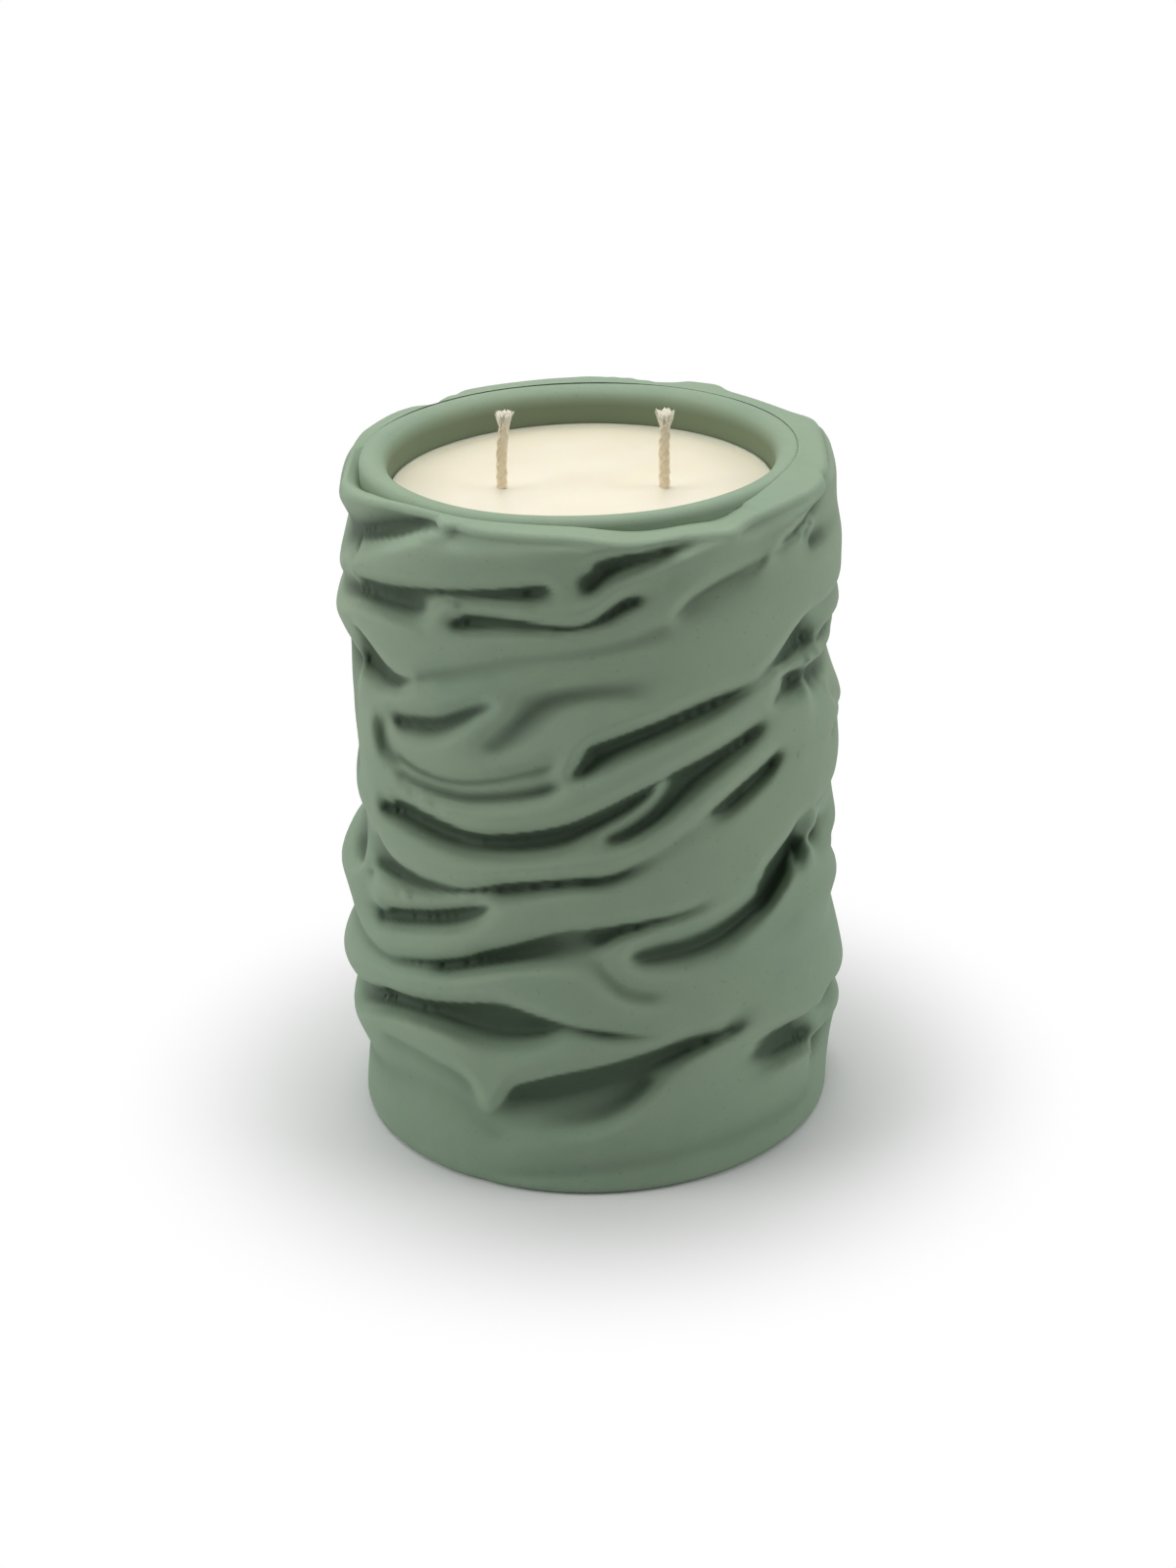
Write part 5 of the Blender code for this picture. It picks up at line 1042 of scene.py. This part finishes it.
def make_drape(material):
    """The draped sheet, with how far it lies below and above the sheet around it stored for the material's
    painted crease shade and painted crest highlight.
    """
    rings = sheet_rings()
    hollow, proud = painted_shade_and_highlight(np.hypot(rings[:DRAPE_ROWS, :, 0], rings[:DRAPE_ROWS, :, 1]))
    rings = np.concatenate([rings, rings[:, :1]], axis=1)
    rows, columns = rings.shape[:2]
    bm = bmesh.new()
    bmesh.ops.create_grid(bm, x_segments=columns - 1, y_segments=rows - 1, size=1.0)
    layers = [(bm.verts.layers.float.new("hollow"), hollow), (bm.verts.layers.float.new("proud"), proud)]
    bm.verts.ensure_lookup_table()
    for vert in bm.verts:
        column = round((vert.co.x + 1) / 2 * (columns - 1))
        row = round((vert.co.y + 1) / 2 * (rows - 1))
        vert.co = rings[row, column]
        if row < DRAPE_ROWS:
            for layer, values in layers:
                vert[layer] = values[row, column % DRAPE_COLUMNS]
    bmesh.ops.remove_doubles(bm, verts=bm.verts, dist=1e-4)
    folds = [
        v for v in bm.verts
        if math.hypot(v.co.x, v.co.y) > DRAPE_INNER_R + 0.5 and SMOOTHED_FROM < v.co.z < SMOOTHED_TO
    ]
    smooth_verts(bm, folds, SMOOTHED_TIMES)
    steep = [v for v in folds if max(e.calc_length() for e in v.link_edges) > STEEP_EDGE]
    smooth_verts(bm, steep, STEEP_TIMES)
    bmesh.ops.recalc_face_normals(bm, faces=bm.faces)
    return piece("drape_sheet", bm, material, "drape")


def smooth_verts(bm, verts, times):
    """Evens out these points of the sheet, a little each time."""
    for _ in range(times):
        bmesh.ops.smooth_vert(bm, verts=verts, factor=0.5, use_axis_x=True, use_axis_y=True, use_axis_z=True)


def painted_shade_and_highlight(radius):
    """How far each point lies below and above the sheet around it, as shares from 0 to 1: painted shade for
    the creases and a painted highlight for the crests.
    """
    around = spread(radius, 0, AROUND_ROWS, round(2 * AROUND_ROWS), ends="clip")
    around = spread(around, 1, AROUND_COLUMNS, 2 * AROUND_COLUMNS)
    low = np.maximum(around - radius, 0) / CREASE_SHADE_FULL + np.maximum(LOW_FROM_R - radius, 0) / LOW_FULL
    return np.clip(low, 0, 1), np.clip((radius - around) / CREST_HIGHLIGHT_FULL, 0, 1)


def make_wax(material):
    """Poured wax that climbs a little at the wall and round each wick, with a gently uneven top."""
    corner = WELL_CORNER_ROUND
    profile = [(0.0, WAX_BOTTOM), (16.0, WAX_BOTTOM)]
    profile += arc(WAX_R - corner, WAX_BOTTOM + corner, corner, -90, 0, 5)
    profile += [(WAX_R, z) for z in np.linspace(20, WAX_TOP - 4, 8)]
    for share in np.linspace(0, 1, 8):
        profile.append((WAX_R - 0.02 - share * MENISCUS_WIDTH, WAX_TOP + MENISCUS_RISE * (1 - share) ** 2))
    profile += [(r, WAX_TOP) for r in np.linspace(WAX_R - MENISCUS_WIDTH - 0.6, 0.4, 60)]
    profile.append((0.0, WAX_TOP))
    bm = spun(profile)
    for vert in bm.verts:
        if vert.co.z < WAX_TOP - 0.01:
            continue
        x, y = vert.co.x, vert.co.y
        out = math.hypot(x, y) / WAX_R
        swell = 0.10 * math.sin(x / 9.0 + 1.1) * math.cos(y / 7.5 + 0.4) + 0.05 * math.sin(x / 4.1 - y / 5.3)
        vert.co.z += (1 - out**4) * (swell - 0.12)
        for site in WICK_SITES.values():
            near = math.dist((x, y), site)
            climb = 0.55 * math.exp(-max(near - WICK_R, 0) / 0.7)
            vert.co.z += climb - 0.12 * math.exp(-((near - 5.5) / 2.6) ** 2)
    return piece("wax_fill", bm, material, "wax")


def strand(bm, points, radii, sides):
    """Adds one round strand along a line of points, closed at both ends."""
    rings, loops = [], []
    for i, point in enumerate(points):
        ahead = Vector(points[min(i + 1, len(points) - 1)]) - Vector(points[max(i - 1, 0)])
        turn = Vector((0, 0, 1)).rotation_difference(ahead).to_matrix().to_4x4()
        place = Matrix.Translation(point) @ turn
        made = bmesh.ops.create_circle(bm, cap_ends=False, segments=sides, radius=radii[i], matrix=place)
        rings.append(made["verts"])
        loops.append(list({edge for vert in made["verts"] for edge in vert.link_edges}))
    for low, high in zip(loops, loops[1:]):
        bmesh.ops.bridge_loops(bm, edges=low + high)
    for ring in (rings[0], rings[-1]):
        bm.faces.new(ring)


def wick_axis(side, site, height):
    """Middle of a wick at this height, with its lean."""
    shares, bends = zip(*WICK_STATIONS)
    bend = np.interp((height - WAX_TOP) / WICK_ABOVE_WAX, shares, bends)
    return np.array([site[0] + WICK_LEAN[side] * float(bend), site[1], height])


def make_wick(side, site, material):
    """Braided cotton wick: crossing strands round a core, untwisting into a splayed, frayed tip."""
    bm = bmesh.new()
    rng = random.Random(f"wick {side}")
    top = WAX_TOP + WICK_ABOVE_WAX
    tip = top - BRAID_BELOW_TIP
    start = WAX_TOP - 3.0
    core = [wick_axis(side, site, z) for z in np.linspace(WICK_BOTTOM, tip + 0.6, 14)]
    strand(bm, core, [CORE_R] * len(core), 14)
    for turn in range(BRAID_STRANDS):
        way = 1 if turn % 2 else -1
        phase = turn * 2 * math.pi / BRAID_STRANDS
        points = []
        for z in np.linspace(start, tip + 0.5, 46):
            sweep = phase + way * (z - start) * 2 * math.pi / BRAID_PITCH
            wide = BRAID_R + 0.07 * math.cos(2 * sweep + turn)
            off = [wide * math.sin(sweep), 0.92 * wide * math.cos(sweep), 0]
            points.append(wick_axis(side, site, z) + off)
        strand(bm, points, [BRAID_STRAND_R] * len(points), 6)
    for _ in range(FRAYED_HAIRS):
        turn, out = rng.uniform(0, 2 * math.pi), rng.random() ** 0.5
        outward = out * np.array([math.sin(turn), math.cos(turn), 0])
        foot = wick_axis(side, site, tip - rng.uniform(0.0, 1.4)) + 0.85 * outward
        splay = rng.uniform(1.0, 2.05)
        end = wick_axis(side, site, top - rng.uniform(0.0, 0.8)) + splay * outward
        middle = (foot + end) / 2 + [rng.uniform(-0.16, 0.16), rng.uniform(-0.16, 0.16), 0.1]
        thick = rng.uniform(0.08, 0.16)
        strand(bm, [foot, middle, end], [thick, thick, 0.6 * thick], 5)
    bmesh.ops.recalc_face_normals(bm, faces=bm.faces)
    return piece(f"wick_braid_{side}", bm, material, f"wick_{side}")


def make_studio():
    """Pale floor and backdrop, a soft light above and one at either side."""
    bm = bmesh.new()
    bmesh.ops.create_grid(bm, x_segments=1, y_segments=1, size=1.6)
    meshed("studio_floor", bm, white_studio("studio_white"))
    world = bpy.data.worlds.new("studio_world")
    bpy.context.scene.world = world
    world.use_nodes = True
    tree = world.node_tree
    back = tree.nodes["Background"]
    paths = tree.nodes.new("ShaderNodeLightPath")
    seen = tree.nodes.new("ShaderNodeMath")
    seen.operation = "MAXIMUM"
    for socket, kind in enumerate(("Camera", "Glossy")):
        tree.links.new(paths.outputs[f"Is {kind} Ray"], seen.inputs[socket])
    share = tree.nodes.new("ShaderNodeMapRange")
    share.inputs["To Min"].default_value = WORLD_LIGHT
    share.inputs["To Max"].default_value = 1.0
    tree.links.new(seen.outputs[0], share.inputs["Value"])
    tree.links.new(share.outputs[0], back.inputs["Strength"])
    back.inputs["Color"].default_value = (1.0, 1.0, 1.0, 1.0)
    middle = Vector((0, 0, CUP_HEIGHT * MM / 2))
    for name, place, size, power in LIGHTS:
        lamp = bpy.data.lights.new(name, "AREA")
        lamp.shape, lamp.size, lamp.energy = "DISK", size, power
        light = added(name, lamp)
        light.location = place
        light.rotation_euler = (middle - Vector(place)).to_track_quat("-Z", "Y").to_euler()


def make_camera():
    """The photo's camera: where it stood, how far it looked down, its roll and its lens."""
    dip, roll = math.radians(CAMERA_DIP), math.radians(CAMERA_ROLL)
    ahead = Vector((0, math.cos(dip), -math.sin(dip)))
    level, above = Vector((1, 0, 0)), Vector((0, math.sin(dip), math.cos(dip)))
    right = level * math.cos(roll) + above * math.sin(roll)
    up = above * math.cos(roll) - level * math.sin(roll)
    lens = bpy.data.cameras.new("photo_camera")
    lens.lens = CAMERA_LENS
    lens.sensor_width = 36.0
    lens.clip_start = 0.01
    camera = added("photo_camera", lens)
    camera.matrix_world = Matrix.Translation(CAMERA_AT) @ Matrix((right, up, -ahead)).transposed().to_4x4()
    bpy.context.scene.camera = camera


def main():
    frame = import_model()
    bpy.context.scene.view_settings.view_transform = "Standard"
    make_camera()
    make_studio()
    make_cup(sage_clay("cup_sage", painted_relief_shade=False))
    make_drape(sage_clay("drape_sage", painted_relief_shade=True))
    make_wax(cream_wax())
    cotton, tin, foam = wick_cotton(), pressed_tin(), sticker_foam()
    for side, site in WICK_SITES.items():
        make_wick(side, site, cotton)
        for node, material in ((f"wick_clip_{side}", tin), (f"wick_sticker_{side}", foam)):
            for slot in frame["nodes"][node].material_slots:
                slot.material = material


main()
